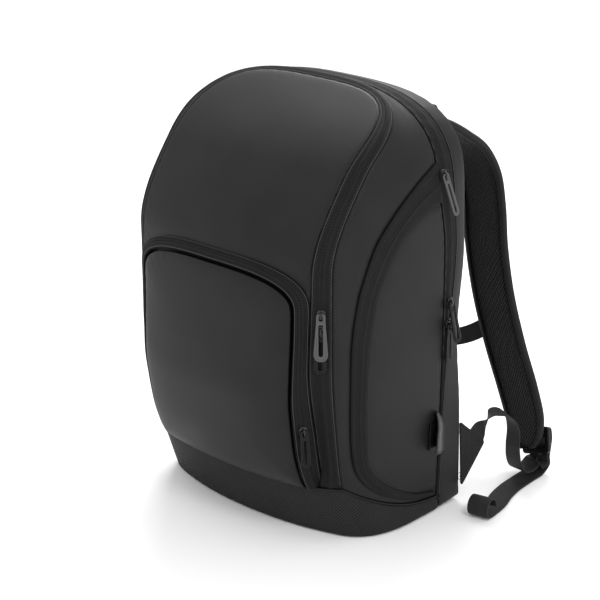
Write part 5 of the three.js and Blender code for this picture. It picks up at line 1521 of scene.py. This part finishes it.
# %% Hood and port
HOOD_FOOT, HOOD_FRONT, HOOD_LENGTH, HOOD_WIDTH = 75.5 * MM, 20.5 * MM, 44 * MM, 25 * MM
HOOD_RISE, HOOD_WALL = 12.5 * MM, 1.8 * MM
PORT_WIDTH, PORT_LENGTH = 18 * MM, 31 * MM
HOOD_LINE = np.array([(0, 1, 0, 1), (0.33, 0.97, 0.03, 1), (0.64, 0.93, 0.12, 0.9), (0.84, 0.7, 0.2, 0.66),
                      (1, 0.46, 0.28, 0.26)])  # up, rear edge, free edge, rise
HOOD_SWELL = smooth_table([0, 0.3, 0.75, 1], [0, 0.5, 0.93, 1])


def hood_grid(rows, columns):
    up = np.linspace(0, 1, rows)
    rear, free, rise = (np.interp(up, HOOD_LINE[:, 0], HOOD_LINE[:, i]) for i in (1, 2, 3))
    share = np.linspace(0, 1, columns)[None, :]
    y = HOOD_FRONT + HOOD_WIDTH * (rear[:, None] + (free - rear)[:, None] * share)
    z = HOOD_FOOT + up[:, None] * HOOD_LENGTH + 0 * share
    k, s = place_on_side(y.ravel(), z.ravel())
    point, out = side_hull(k, s), side_normal(k, s)
    point[:, 1] = y.ravel()
    height = 2 * GAP + HOOD_WALL + rise[:, None] * HOOD_SWELL(share) * (HOOD_RISE - HOOD_WALL)
    return (point + out * height.reshape(-1, 1)).reshape(rows, columns, 3), out.reshape(rows, columns, 3)


def usb_hood():
    grid, out = hood_grid(40, 30)
    uv = np.stack([np.tile(np.linspace(0, HOOD_WIDTH, 30), (40, 1)),
                   np.tile(np.linspace(0, HOOD_LENGTH, 40)[:, None], (1, 30))], -1)
    crease = slack(grid, 14 * MM, 0.35 * MM, 2.2)
    return wall("hood_leather_shell", grid + out * crease[..., None], grid - out * HOOD_WALL, uv, 0 * crease)


dress(usb_hood(), LEATHER, "hood_leather", "usb_hood")
hood, hood_out = hood_grid(60, 40)
hood_rows = [(hood[part] + hood_out[part] * 0.1 * MM, hood_out[part])
             for part in (np.s_[1:-1, 36], np.s_[3, 4:-2], np.s_[2:-2, 3])]
stitches("hood_stitches", hood_rows, "hood_leather", pitch=2.6 * MM, length=1.9 * MM)


def usb_port():
    y = HOOD_FRONT + PORT_WIDTH / 2
    k, s = place_on_side(y, HOOD_FOOT + PORT_LENGTH / 2 + 1 * MM)
    out = side_normal(k, s)[0]
    back = unit(np.cross((0, 0, 1.0), out))
    seat = side_hull(k, s)[0] + out * 2 * GAP
    plate = softened_box(PORT_WIDTH / 2 - 0.4 * MM, PORT_LENGTH / 2 - 0.4 * MM, 2 * MM)
    socket = softened_box(2.4 * MM, 6.2 * MM, 0.8 * MM)
    tongue = moulding([socket * (0.35, 0.9)], 1.2 * MM, 0.2 * MM)
    floor_plate = moulding([socket * 1.1], 0.5 * MM, 0.1 * MM)
    shape = together(moulding([plate, socket[::-1]], 2 * MM, 0.4 * MM), tongue, floor_plate)
    return set_in_place("cable_socket", shape, back, unit(np.cross(out, back)), out, seat)


dress(usb_port(), PLASTIC, "black_plastic", "usb_port")


# %% [markdown]
# ## Straps
# A shoulder pad is foam in spacer mesh, pinched by a binding along its edge. It starts a little thin
# and a short cloth simulation blows it up from inside, while the bound edge is held.

# %% The pad's line and its section
PAD_LINE = np.array([  # across the bag, behind its middle, height, width
    (0.229, 0.452, 0.903, 0.92), (0.232, 0.57, 0.878, 1), (0.235, 0.72, 0.842, 1), (0.236, 0.86, 0.8, 1),
    (0.24, 0.965, 0.732, 1), (0.248, 1, 0.648, 1), (0.265, 1, 0.545, 0.99), (0.304, 1, 0.421, 0.97),
    (0.365, 1, 0.3, 0.95), (0.427, 1, 0.2, 0.93), (0.471, 0.99, 0.128, 0.86), (0.493, 0.97, 0.083, 0.66),
    (0.504, 0.952, 0.058, 0.3)])
PAD_WIDTH, PAD_THICKNESS = 60 * MM, 10.5 * MM
STRAP_REACH = 199 * MM
YOKE_THICKNESS, YOKE_WIDTH, YOKE_HEIGHT = 2.5 * MM, 214 * MM, 30 * MM
YOKE_MIDDLE = BAG_HEIGHT * 0.905


def back_depth(z):
    return SEAMS[BACK]["depth_at"](z / (SEAMS[BACK]["top"] * BAG_HEIGHT))


def back_face(z):
    return float(back_depth(z)) + BACK_PAD_CROWN - 0.68 * MM


def pad_frame(steps):
    """Points down the pad's middle, the directions across and out of it, and its half width."""
    points = PAD_LINE[:, :3] * (BAG_WIDTH, STRAP_REACH, BAG_HEIGHT)
    points[0, 1] = back_face(points[0, 2]) + 2 * GAP + YOKE_THICKNESS + PAD_THICKNESS * 0.16
    line = loose_curve(points, steps)
    along = unit(np.gradient(line, axis=0))
    side = unit(np.array([1.0, 0, 0]) - along[:, :1] * along)
    face = np.cross(along, side)
    return line, side, face, loose_values(PAD_LINE[:, 3] * PAD_WIDTH / 2, steps), along


def pinch(distance):
    """The pad's share of its full thickness, by the distance from its bound edge."""
    return 0.34 + 0.66 * (1 - np.exp(-distance / (5 * MM)))


def pad_section(half_width_here, thickness):
    """Offsets across and out for one section, thinner at its bound edges."""
    turn = np.linspace(0, 2 * math.pi, 28, endpoint=False)
    a = np.sign(np.cos(turn)) * np.abs(np.cos(turn)) ** 0.6
    thin = pinch(half_width_here * (1 - np.abs(a)))
    b = np.sign(np.sin(turn)) * np.minimum(1, np.abs(np.sin(turn)) ** 0.5) * thin
    return a * half_width_here, b * thickness / 2


def pad_body(thickness, steps=110):
    line, side, face, half, _ = pad_frame(steps)
    rings = []
    for i in range(steps):
        ends = min(i, steps - 1 - i) / 3
        thick = thickness * (0.5 + 0.5 * min(1, ends))
        a, b = pad_section(half[i] - 0.8 * MM, thick)
        rings.append(line[i] + a[:, None] * side[i] + b[:, None] * face[i])
    return solid("pad_foam_right", np.concatenate(rings), tube_faces(steps, len(rings[0])))


# %% Blowing up foam by cloth simulation
PRESSURE, FRAMES = 4, 20


def voxel_remesh(piece, size):
    rebuild = piece.modifiers.new("voxels", "REMESH")
    rebuild.mode, rebuild.voxel_size = "VOXEL", size
    piece.data = as_mesh(piece)
    piece.modifiers.clear()


def blow_up(piece, held, cap):
    """Runs a cloth simulation on the piece; held gives 1 where the cloth is sewn down."""
    start = positions(piece.data)
    group = piece.vertex_groups.new(name="sewn")
    weights = held(start)
    for number in np.nonzero(weights > 0.02)[0]:
        group.add([int(number)], float(min(1, weights[number])), "REPLACE")
    cloth = piece.modifiers.new("cloth", "CLOTH")
    cloth.settings.quality = 6
    cloth.settings.mass = 0.25
    cloth.settings.tension_stiffness = cloth.settings.compression_stiffness = 18
    cloth.settings.bending_stiffness = 1.2
    cloth.settings.use_pressure = True
    cloth.settings.uniform_pressure_force = PRESSURE
    cloth.settings.effector_weights.gravity = 0
    cloth.settings.vertex_group_mass = "sewn"
    cloth.collision_settings.use_collision = False
    cloth.point_cache.frame_start, cloth.point_cache.frame_end = 1, FRAMES
    scene = bpy.context.scene
    for frame_number in range(1, FRAMES + 1):
        scene.frame_set(frame_number)
    view = bpy.context.evaluated_depsgraph_get()
    blown = positions(piece.evaluated_get(view).to_mesh())
    scene.frame_set(1)
    piece.modifiers.clear()
    move = blown - start
    reach = np.linalg.norm(move, axis=1, keepdims=True)
    move *= np.minimum(1, cap / np.maximum(reach, 1e-9))
    piece.data.vertices.foreach_set("co", (start + move).ravel())
    piece.vertex_groups.clear()
    print(f"{piece.name}: swelled by up to {float(np.linalg.norm(move, axis=1).max()) * 1000:.1f} mm")


def refine(piece):
    finer = piece.modifiers.new("finer", "SUBSURF")
    finer.levels = finer.render_levels = 1
    soften = piece.modifiers.new("soften", "SMOOTH")
    soften.factor, soften.iterations = 0.5, 3
    piece.data = as_mesh(piece)
    piece.modifiers.clear()
    piece.data.polygons.foreach_set("use_smooth", [True] * len(piece.data.polygons))


# %% Shoulder pads
PAD_STEPS = 400


def on_pad(points):
    """For each point: the nearest station on the pad's line, how far across it, and the half width."""
    line, side, face, half, _ = pad_frame(PAD_STEPS)
    near = np.empty(len(points), int)
    for start in range(0, len(points), 4000):
        part = points[start:start + 4000]
        near[start:start + 4000] = np.linalg.norm(part[:, None] - line[None], axis=-1).argmin(1)
    away_from_line = points - line[near]
    return near, np.sum(away_from_line * side[near], -1), np.sum(away_from_line * face[near], -1), half[near]


def pad_held(points):
    near, across, _, half = on_pad(points)
    edge = np.clip(1 - (half - np.abs(across) - 3 * MM) / (5 * MM), 0, 1)
    ends = np.clip(1 - np.minimum(near - 4, PAD_STEPS - 24 - near) / 18, 0, 1)
    return np.maximum(edge, ends)


pad_right = pad_body(PAD_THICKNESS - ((2.5 * MM)))
voxel_remesh(pad_right, 4 * MM)
blow_up(pad_right, pad_held, 2.2 * MM)
refine(pad_right)
near, across, _, _ = on_pad(positions(pad_right.data))
pad_length = length_along(pad_frame(PAD_STEPS)[0])
give_uv(pad_right.data, np.stack([across, pad_length[near]], -1))
dress(pad_right, AIR_MESH, "air_mesh", "shoulder_pad_right")
pad_left = other_side(pad_right, "air_mesh", "shoulder_pad_left")


# %% Binding round the pad's edge
BINDING_REACH = 6.0 * MM
FOLD = [(1.0, 1), (0.66, 1), (0.33, 1), (0.12, 0.92), (0, 0.5), (0, -0.5), (0.12, -0.92), (0.33, -1),
        (0.66, -1), (1.0, -1)]  # share of the reach, level on the pad's two faces


def bound_edges(inwards, level, above):
    """Lines along both edges of the pad, and the way out of its face; level 1 is the outer face."""
    line, side, face, half, _ = pad_frame(220)
    rise = face * level * (PAD_THICKNESS / 2 * pinch(inwards) + above)
    reach = side * (half + 0.3 * MM - inwards)[:, None]
    return line + reach + rise, line - reach + rise, face


def pad_binding():
    """A tape folded over the pad's edge, down one side, round the tip and up the other."""
    def round_tip(right, left):
        return np.concatenate([right[2:219], left[2:219][::-1]])
    outer = np.stack([round_tip(*bound_edges(hem * BINDING_REACH, level, 0.55 * MM)[:2])
                      for hem, level in FOLD])
    line = pad_frame(220)[0]
    normals = grid_normals(outer)
    normals *= np.where(np.sum(normals * (outer - round_tip(line, line)), -1, keepdims=True) < 0, -1, 1)
    across, along, near = measured(outer, 4)
    lift = pucker(near, along, 7 * MM, 0.18 * MM, 6 * MM, 3.1)
    return wall("pad_binding_right", outer + normals * lift[..., None], outer - normals * 0.8 * MM,
                np.stack([along, across], -1), np.exp(-near / (1.5 * MM)))


other_side(dress(pad_binding(), BINDING, "air_mesh"), "air_mesh")
pad_rows = []
for level in (1, -1):
    right, left, face = bound_edges(4.6 * MM, level, 0.6 * MM)
    pad_rows += [(edge[4:216], level * face[4:216]) for edge in (right, left)]
other_side(stitches("pad_stitches_right", pad_rows, "air_mesh"), "air_mesh")


# %% Flat straps
def strap(name, line, across, width, thickness, ring_steps=18):
    """A flat strap along a line; across gives the direction of its width at each point."""
    along = unit(np.gradient(line, axis=0))
    side = unit(across - np.sum(across * along, -1, keepdims=True) * along)
    out = np.cross(along, side)
    turn = np.linspace(0, 2 * math.pi, ring_steps, endpoint=False)
    a = np.sign(np.cos(turn)) * np.abs(np.cos(turn)) ** 0.35
    b = np.sign(np.sin(turn)) * np.abs(np.sin(turn)) ** 0.45
    rings = (line[:, None] + a[None, :, None] * side[:, None] * width / 2
             + b[None, :, None] * out[:, None] * thickness / 2)
    steps = len(line)
    uv = np.stack([np.repeat(length_along(line), ring_steps), np.tile(a * width / 2, steps)], -1)
    # edge marks the strap's rounded sides, where the webbing finish paints a highlight.
    edge = np.clip((np.abs(np.tile(a, steps)) - 0.86) / 0.1, 0, 1)
    return solid(name, rings.reshape(-1, 3), tube_faces(steps, ring_steps), uv, edge)


# %% Anchor wings
WING_THICKNESS, WING_REACH = 3 * MM, 32 * MM
WEBBING_WIDTH, WEBBING_THICKNESS = 25 * MM, 1.6 * MM


def wing_corners():
    edge = seam_point(BACK, np.array([0.0]))[0]
    seat = edge[1] + 4 * GAP
    top = np.array([edge[0] - WING_THICKNESS / 2, seat, 0.194 * BAG_HEIGHT])
    tip = np.array([edge[0] + 2 * WING_THICKNESS, seat + WING_REACH, 0.13 * BAG_HEIGHT])
    foot = np.array([edge[0] + WING_THICKNESS / 3, seat + WING_THICKNESS / 2, 0.037 * BAG_HEIGHT])
    return top, tip, foot


def anchor_wing():
    top, tip, foot = wing_corners()
    down = unit(foot - top)
    face = unit(np.cross(tip - top, foot - top))
    back = unit(np.cross(face, down))
    blunt_tip = (tip + (top - tip) * 0.03, tip + (foot - tip) * 0.05)
    flat = [((p - top) @ back, (p - top) @ down) for p in (top, *blunt_tip, foot)]
    shape = moulding([softened(flat, 2.5 * MM)], WING_THICKNESS, 0.9 * MM)
    out = unit(np.cross(back, down))
    piece = set_in_place("wing_cloth_right", shape, back, down, out, top - out * WING_THICKNESS / 2)
    rows = []
    centre = np.array([top, tip, foot]).mean(0)
    for inset in (4 * MM, 9 * MM):
        for start, end in ((top, tip), (tip, foot)):
            inside = unit(np.cross(face, unit(end - start)))
            inside = inside if inside @ (centre - tip) > 0 else -inside
            line = start + (end - start) * np.linspace(0.1, 0.93, 20)[:, None] + inside * inset
            for sign in (1, -1):
                rows.append((line + face * sign * WING_THICKNESS / 2, np.tile(face * sign, (20, 1))))
    return piece, rows


wing, wing_rows = anchor_wing()
other_side(dress(wing, BASE, "base_cloth", "anchor_wing_right"), "base_cloth", "anchor_wing_left")
other_side(stitches("wing_stitches_right", wing_rows, "base_cloth", pitch=3.0 * MM), "base_cloth")


# %% [markdown]
# The adjuster webbing leaves the wing, arches out beside the bag, threads through the ladder lock on
# the pad's tip and ends in a loose tail on the floor, rolled up at its end.

# %% Adjuster webbing
LOCK_LENGTH, LOCK_WIDTH, LOCK_THICKNESS, LOCK_BAR = 28 * MM, 34 * MM, 5 * MM, 4 * MM
LOCK_SHIFT, LOCK_AT, ROLL_RADIUS = 7 * MM, 0.932, 10.5 * MM
WEBBING_LINE = [  # half widths out, behind, height, turn in degrees
    (1, 0.575, 0.178, 48), (1.019, 0.615, 0.198, 42), (1.049, 0.664, 0.197, 32), (1.073, 0.719, 0.176, 22),
    (1.079, 0.744, 0.142, 17), (1.079, 0.744, 0.102, 14), (1.065, 0.774, 0.059, 10), (1.045, 0.84, 0.026, 5),
    (1.035, 0.925, 0.016, 0), (1.045, 0.99, 0.032, 0)]
THREADING = [  # climb along the lock, and rise above its face in mm
    (-1.7, 0.5), (-1.1, 0), (-0.72, 0), (-0.4, -2.4), (-0.12, -5.2), (0.12, -5.2), (0.4, -2.4),
    (0.72, 0.2), (0.98, 3.2), (0.9, 8), (0.2, 9.5), (-0.6, 7), (-1.2, 4.2)]
TAIL_LINE = [(1.066, 1.015, 9), (1.066, 0.95, 0.5), (1.085, 0.815, 0), (1.105, 0.71, 0), (1.146, 0.59, 0),
             (1.206, 0.47, 0), (1.24, 0.355, 0)]  # half widths out, behind, rise off the floor in mm


def lock_place():
    line, side, face, _, along = pad_frame(1201)
    at = round(LOCK_AT * 1200)
    up, across = -along[at], side[at]
    out = np.cross(across, up)
    out = out if out[1] > 0 else -out
    point = line[at] + across * LOCK_SHIFT + out * (PAD_THICKNESS / 2 + LOCK_THICKNESS / 2 + GAP)
    return point, across, up, out


def webbing_line():
    top, tip, _ = wing_corners()
    point, across, up, out = lock_place()
    edge = unit(top - tip)
    root = tip + edge * WEBBING_WIDTH * 0.56
    lift = unit(np.array([0, edge[2], -edge[1]]))
    points = [root + lift * rise for rise in (0.5 * MM, 9 * MM)]
    widths = [edge, edge + (np.array([1.0, 0, 0]) - edge) * 0.15]
    for i, (x, y, z, turn) in enumerate(WEBBING_LINE):
        broad = np.array([math.cos(math.radians(turn)), -math.sin(math.radians(turn)), 0])
        points.append(np.array([x * BAG_WIDTH / 2, y * STRAP_REACH, z * BAG_HEIGHT]))
        turned_width = edge + (broad - edge) * min(1, 0.6 + 0.4 * i)
        widths.append(turned_width + (across - turned_width) * min(1, max(0, (i - 7) / 3)))
    surface = LOCK_THICKNESS / 2 + WEBBING_THICKNESS / 2 + GAP * 1.6
    for climb, rise in THREADING:
        points.append(point + up * climb * LOCK_LENGTH / 2 + out * (surface + rise * MM))
        widths.append(across)
    low = WEBBING_THICKNESS / 2 + 0.1 * MM
    heading = unit(np.array([0.2, -1, 0]))
    level = -np.cross(heading, (0, 0, 1))
    for x, y, rise in TAIL_LINE:
        points.append(np.array([x * BAG_WIDTH / 2, y * STRAP_REACH, low + rise * MM]))
        widths.append(level)
    centre = points[-1] + heading * ROLL_RADIUS * 0.76
    centre[2] = low + ROLL_RADIUS
    for i in range(1, 8):
        angle = math.radians(-90 + i * 40)
        flatter = 0.6 if i == 7 else 1
        points.append(centre + heading * math.cos(angle) * ROLL_RADIUS
                      + np.array([0, 0, math.sin(angle) * ROLL_RADIUS * flatter]))
        widths.append(level)
    steps = (len(points) - 1) * 14 + 1
    line = loose_curve(points, steps)
    line[:, 2] = np.maximum(line[:, 2], low)
    return line, unit(loose_curve(widths, steps))


line, widths = webbing_line()
webbing_right = strap("webbing_right", line, widths, WEBBING_WIDTH, WEBBING_THICKNESS)
dress(webbing_right, STRAP, "webbing", "adjuster_webbing_right")
other_side(webbing_right, "webbing", "adjuster_webbing_left")


# %% Ladder locks
def ladder_lock():
    half, end, room = LOCK_WIDTH / 2, LOCK_LENGTH / 2, WEBBING_WIDTH / 2 + 1 * MM
    window = softened_box(room, end - LOCK_BAR, 1.2 * MM)
    rim = moulding([softened_box(half, end, 3.5 * MM, 8), window[::-1]], LOCK_THICKNESS, 1.1 * MM)
    bar = moulding([softened_box(room + 1 * MM, LOCK_BAR / 2, 0.6 * MM)], LOCK_THICKNESS * 0.42, 0.7 * MM)
    shape = together(lifted(rim, -LOCK_THICKNESS / 2), lifted(bar, LOCK_THICKNESS * 0.08))
    point, _, up, out = lock_place()
    return set_in_place("lock_right", shape, unit(np.cross(up, out)), up, out, point)


lock_right = dress(ladder_lock(), PLASTIC, "black_plastic", "ladder_lock_right")
other_side(lock_right, "black_plastic", "ladder_lock_left")


# %% Sternum strap and buckle
STERNUM_WIDTH, STERNUM_HEIGHT, STERNUM_SAG = 20 * MM, 120 * MM, 27 * MM
BUCKLE_WIDTH, BUCKLE_HEIGHT, BUCKLE_THICKNESS = 37.2 * MM, 28 * MM, 8 * MM


def sternum_line(x):
    reach = 0.24 * BAG_WIDTH
    behind = STRAP_REACH + PAD_THICKNESS / 2 + WEBBING_THICKNESS / 2 + GAP
    return np.stack([x, 0 * x + behind, STERNUM_HEIGHT + STERNUM_SAG * (x / reach) ** 2], -1)


x = np.linspace(BUCKLE_WIDTH / 2 + 2.9 * MM, 0.318 * BAG_WIDTH, 60)
upwards = np.tile([0, 0, 1.0], (60, 1))
sternum_right = strap("sternum_webbing_right", sternum_line(x), upwards, STERNUM_WIDTH, WEBBING_THICKNESS)
dress(sternum_right, STRAP, "webbing", "sternum_strap_right")
other_side(sternum_right, "webbing", "sternum_strap_left")


def sternum_buckle():
    """A side-release buckle, closed: the outer shell and the two prongs that show at its sides."""
    w, h = BUCKLE_WIDTH / 2, BUCKLE_HEIGHT / 2
    shell_line = both_edges([(-w, -0.8 * h), (-0.62 * w, -h), (0.3 * w, -h), (0.36 * w, -0.72 * h),
                             (0.62 * w, -0.72 * h)], 2.5 * MM)
    prongs = both_edges([(0.2 * w, -0.97 * h), (0.62 * w, -h), (w, -0.8 * h)], 2.5 * MM)
    spine = both_edges([(-0.8 * w, -0.3 * h), (0.5 * w, -0.2 * h)], 1.5 * MM)
    shape = together(moulding([shell_line], BUCKLE_THICKNESS, 1.6 * MM),
                     lifted(moulding([prongs], BUCKLE_THICKNESS - 2.8 * MM, 1.2 * MM), 1.4 * MM),
                     lifted(moulding([spine], 1.1 * MM, 0.4 * MM), BUCKLE_THICKNESS - 0.9 * MM))
    return set_in_place("buckle", lifted(shape, -BUCKLE_THICKNESS / 2), *FACING_BACK,
                        sternum_line(np.array([0.0]))[0])


dress(sternum_buckle(), PLASTIC, "black_plastic", "sternum_buckle")


# %% [markdown]
# ## The padded back
# The back is blown up like the pads, but between sewn channels: one down the spine and three across.

# %% Back panel
CHANNELS_ACROSS = [0.3, 0.5, 0.7]
CHANNEL_WIDTH = 9 * MM


def channel_distance(points):
    """Distance from the nearest sewn channel of the back."""
    x, z = points[:, 0], points[:, 2]
    across = np.min([np.abs(z - share * BAG_HEIGHT - 0.06 * np.abs(x)) for share in CHANNELS_ACROSS], axis=0)
    inside = np.where(z < YOKE_MIDDLE - 34 * MM, np.abs(x), 1)
    yoke_seam = np.abs(z - (YOKE_MIDDLE - 26 * MM))
    return np.minimum(np.minimum(across, inside), yoke_seam)


def back_outline():
    ring = closed_rim(float(BACK), 240, 8, 60)
    return ring + into_ring(ring) * (SHELL_WALL + GAP)


def back_foam(sink):
    """The plain form of the back: a flat front face and a crowned rear face, inside its outline."""
    ring = back_outline()
    centre = np.array([0, 0, 0.46 * BAG_HEIGHT])
    levels = [0.02, 0.25, 0.5, 0.7, 0.84, 0.92, 0.96, 0.985, 1.0]
    rear, front = [], []
    for level in levels:
        flat = centre * (1 - level) + ring * level
        base = back_depth(flat[:, 2])
        bulge = BACK_PAD_CROWN * math.sqrt(1 - level ** 10)
        rear.append(np.stack([flat[:, 0], base + max(0, bulge - sink), flat[:, 2]], -1))
        front.append(np.stack([flat[:, 0], base + BACK_PAD_CROWN - BACK_PAD, flat[:, 2]], -1))
    return solid("back_padding", np.concatenate(front + rear[::-1]), tube_faces(2 * len(levels), len(ring)))


def back_held(points):
    rim = back_outline()[:, [0, 2]]
    distance = nearest(points[:, [0, 2]], rim)
    front = (points[:, 1] < back_depth(points[:, 2]) + 2 * MM).astype(float)
    sewn = np.clip(1 - (channel_distance(points) - CHANNEL_WIDTH / 2) / (6 * MM), 0, 1)
    sewn = np.maximum(sewn, (points[:, 2] > YOKE_MIDDLE - 26 * MM).astype(float))
    return np.maximum(np.maximum(np.clip(1 - distance / (7 * MM), 0, 1), front), sewn)


back = back_foam(2.5 * MM)
voxel_remesh(back, 4.5 * MM)
blow_up(back, back_held, 4 * MM)
refine(back)
points = positions(back.data)
groove = np.exp(-(channel_distance(points) / (CHANNEL_WIDTH * 0.42)) ** 2)
rim_gap = nearest(points[:, [0, 2]], back_outline()[:, [0, 2]])
rear_side = points[:, 1] > back_depth(points[:, 2]) + 1 * MM
below_yoke = np.clip((YOKE_MIDDLE - 20 * MM - points[:, 2]) / (8 * MM), 0, 1)
points[:, 1] -= 3.2 * MM * groove * rear_side * below_yoke * np.clip(rim_gap / (8 * MM), 0, 1)
back.data.vertices.foreach_set("co", points.ravel())
give_uv(back.data, points[:, [0, 2]], np.exp(-rim_gap / (5 * MM)))
dress(back, AIR_MESH, "air_mesh", "back_panel")


# %% Yoke and haul loop
def yoke():
    w, h = YOKE_WIDTH / 2, YOKE_HEIGHT / 2
    shape = moulding([softened_box(w, h, 4 * MM, 6)], YOKE_THICKNESS, 0.8 * MM)
    face = back_face(YOKE_MIDDLE) + GAP
    piece = set_in_place("yoke_cloth", shape, *FACING_BACK, np.array([0, face, YOKE_MIDDLE]))
    rows = []
    for inset in (3.5 * MM, 6.5 * MM):
        loop = softened_box(w - inset, h - inset, 3 * MM, 6)
        dense = resampled(np.concatenate([loop, loop[:1]]), 260)
        line = np.stack([dense[:, 0], 0 * dense[:, 0] + face + YOKE_THICKNESS + 0.05 * MM,
                         dense[:, 1] + YOKE_MIDDLE], -1)
        rows.append((line, np.tile([0, 1.0, 0], (260, 1))))
    return piece, rows


yoke_piece, yoke_rows = yoke()
dress(yoke_piece, SHELL, "shell_cloth", "strap_yoke")
stitches("yoke_stitches", yoke_rows, "shell_cloth", pitch=3.0 * MM)


HAUL_SPAN, HAUL_RISE, HAUL_THICKNESS = 64 * MM, 24 * MM, 2.4 * MM


def haul_loop():
    face = back_face(YOKE_MIDDLE) + YOKE_THICKNESS + 2.5 * GAP
    angle = np.linspace(0, math.pi, 90)
    line = np.stack([-np.cos(angle) * HAUL_SPAN / 2, face + np.maximum(0, np.sin(angle)) ** 0.7 * HAUL_RISE,
                     0 * angle + YOKE_MIDDLE], -1)
    return strap("haul_webbing", line, np.tile([0, 0, 1.0], (90, 1)), WEBBING_WIDTH, HAUL_THICKNESS, 20)


dress(haul_loop(), STRAP, "webbing", "haul_loop")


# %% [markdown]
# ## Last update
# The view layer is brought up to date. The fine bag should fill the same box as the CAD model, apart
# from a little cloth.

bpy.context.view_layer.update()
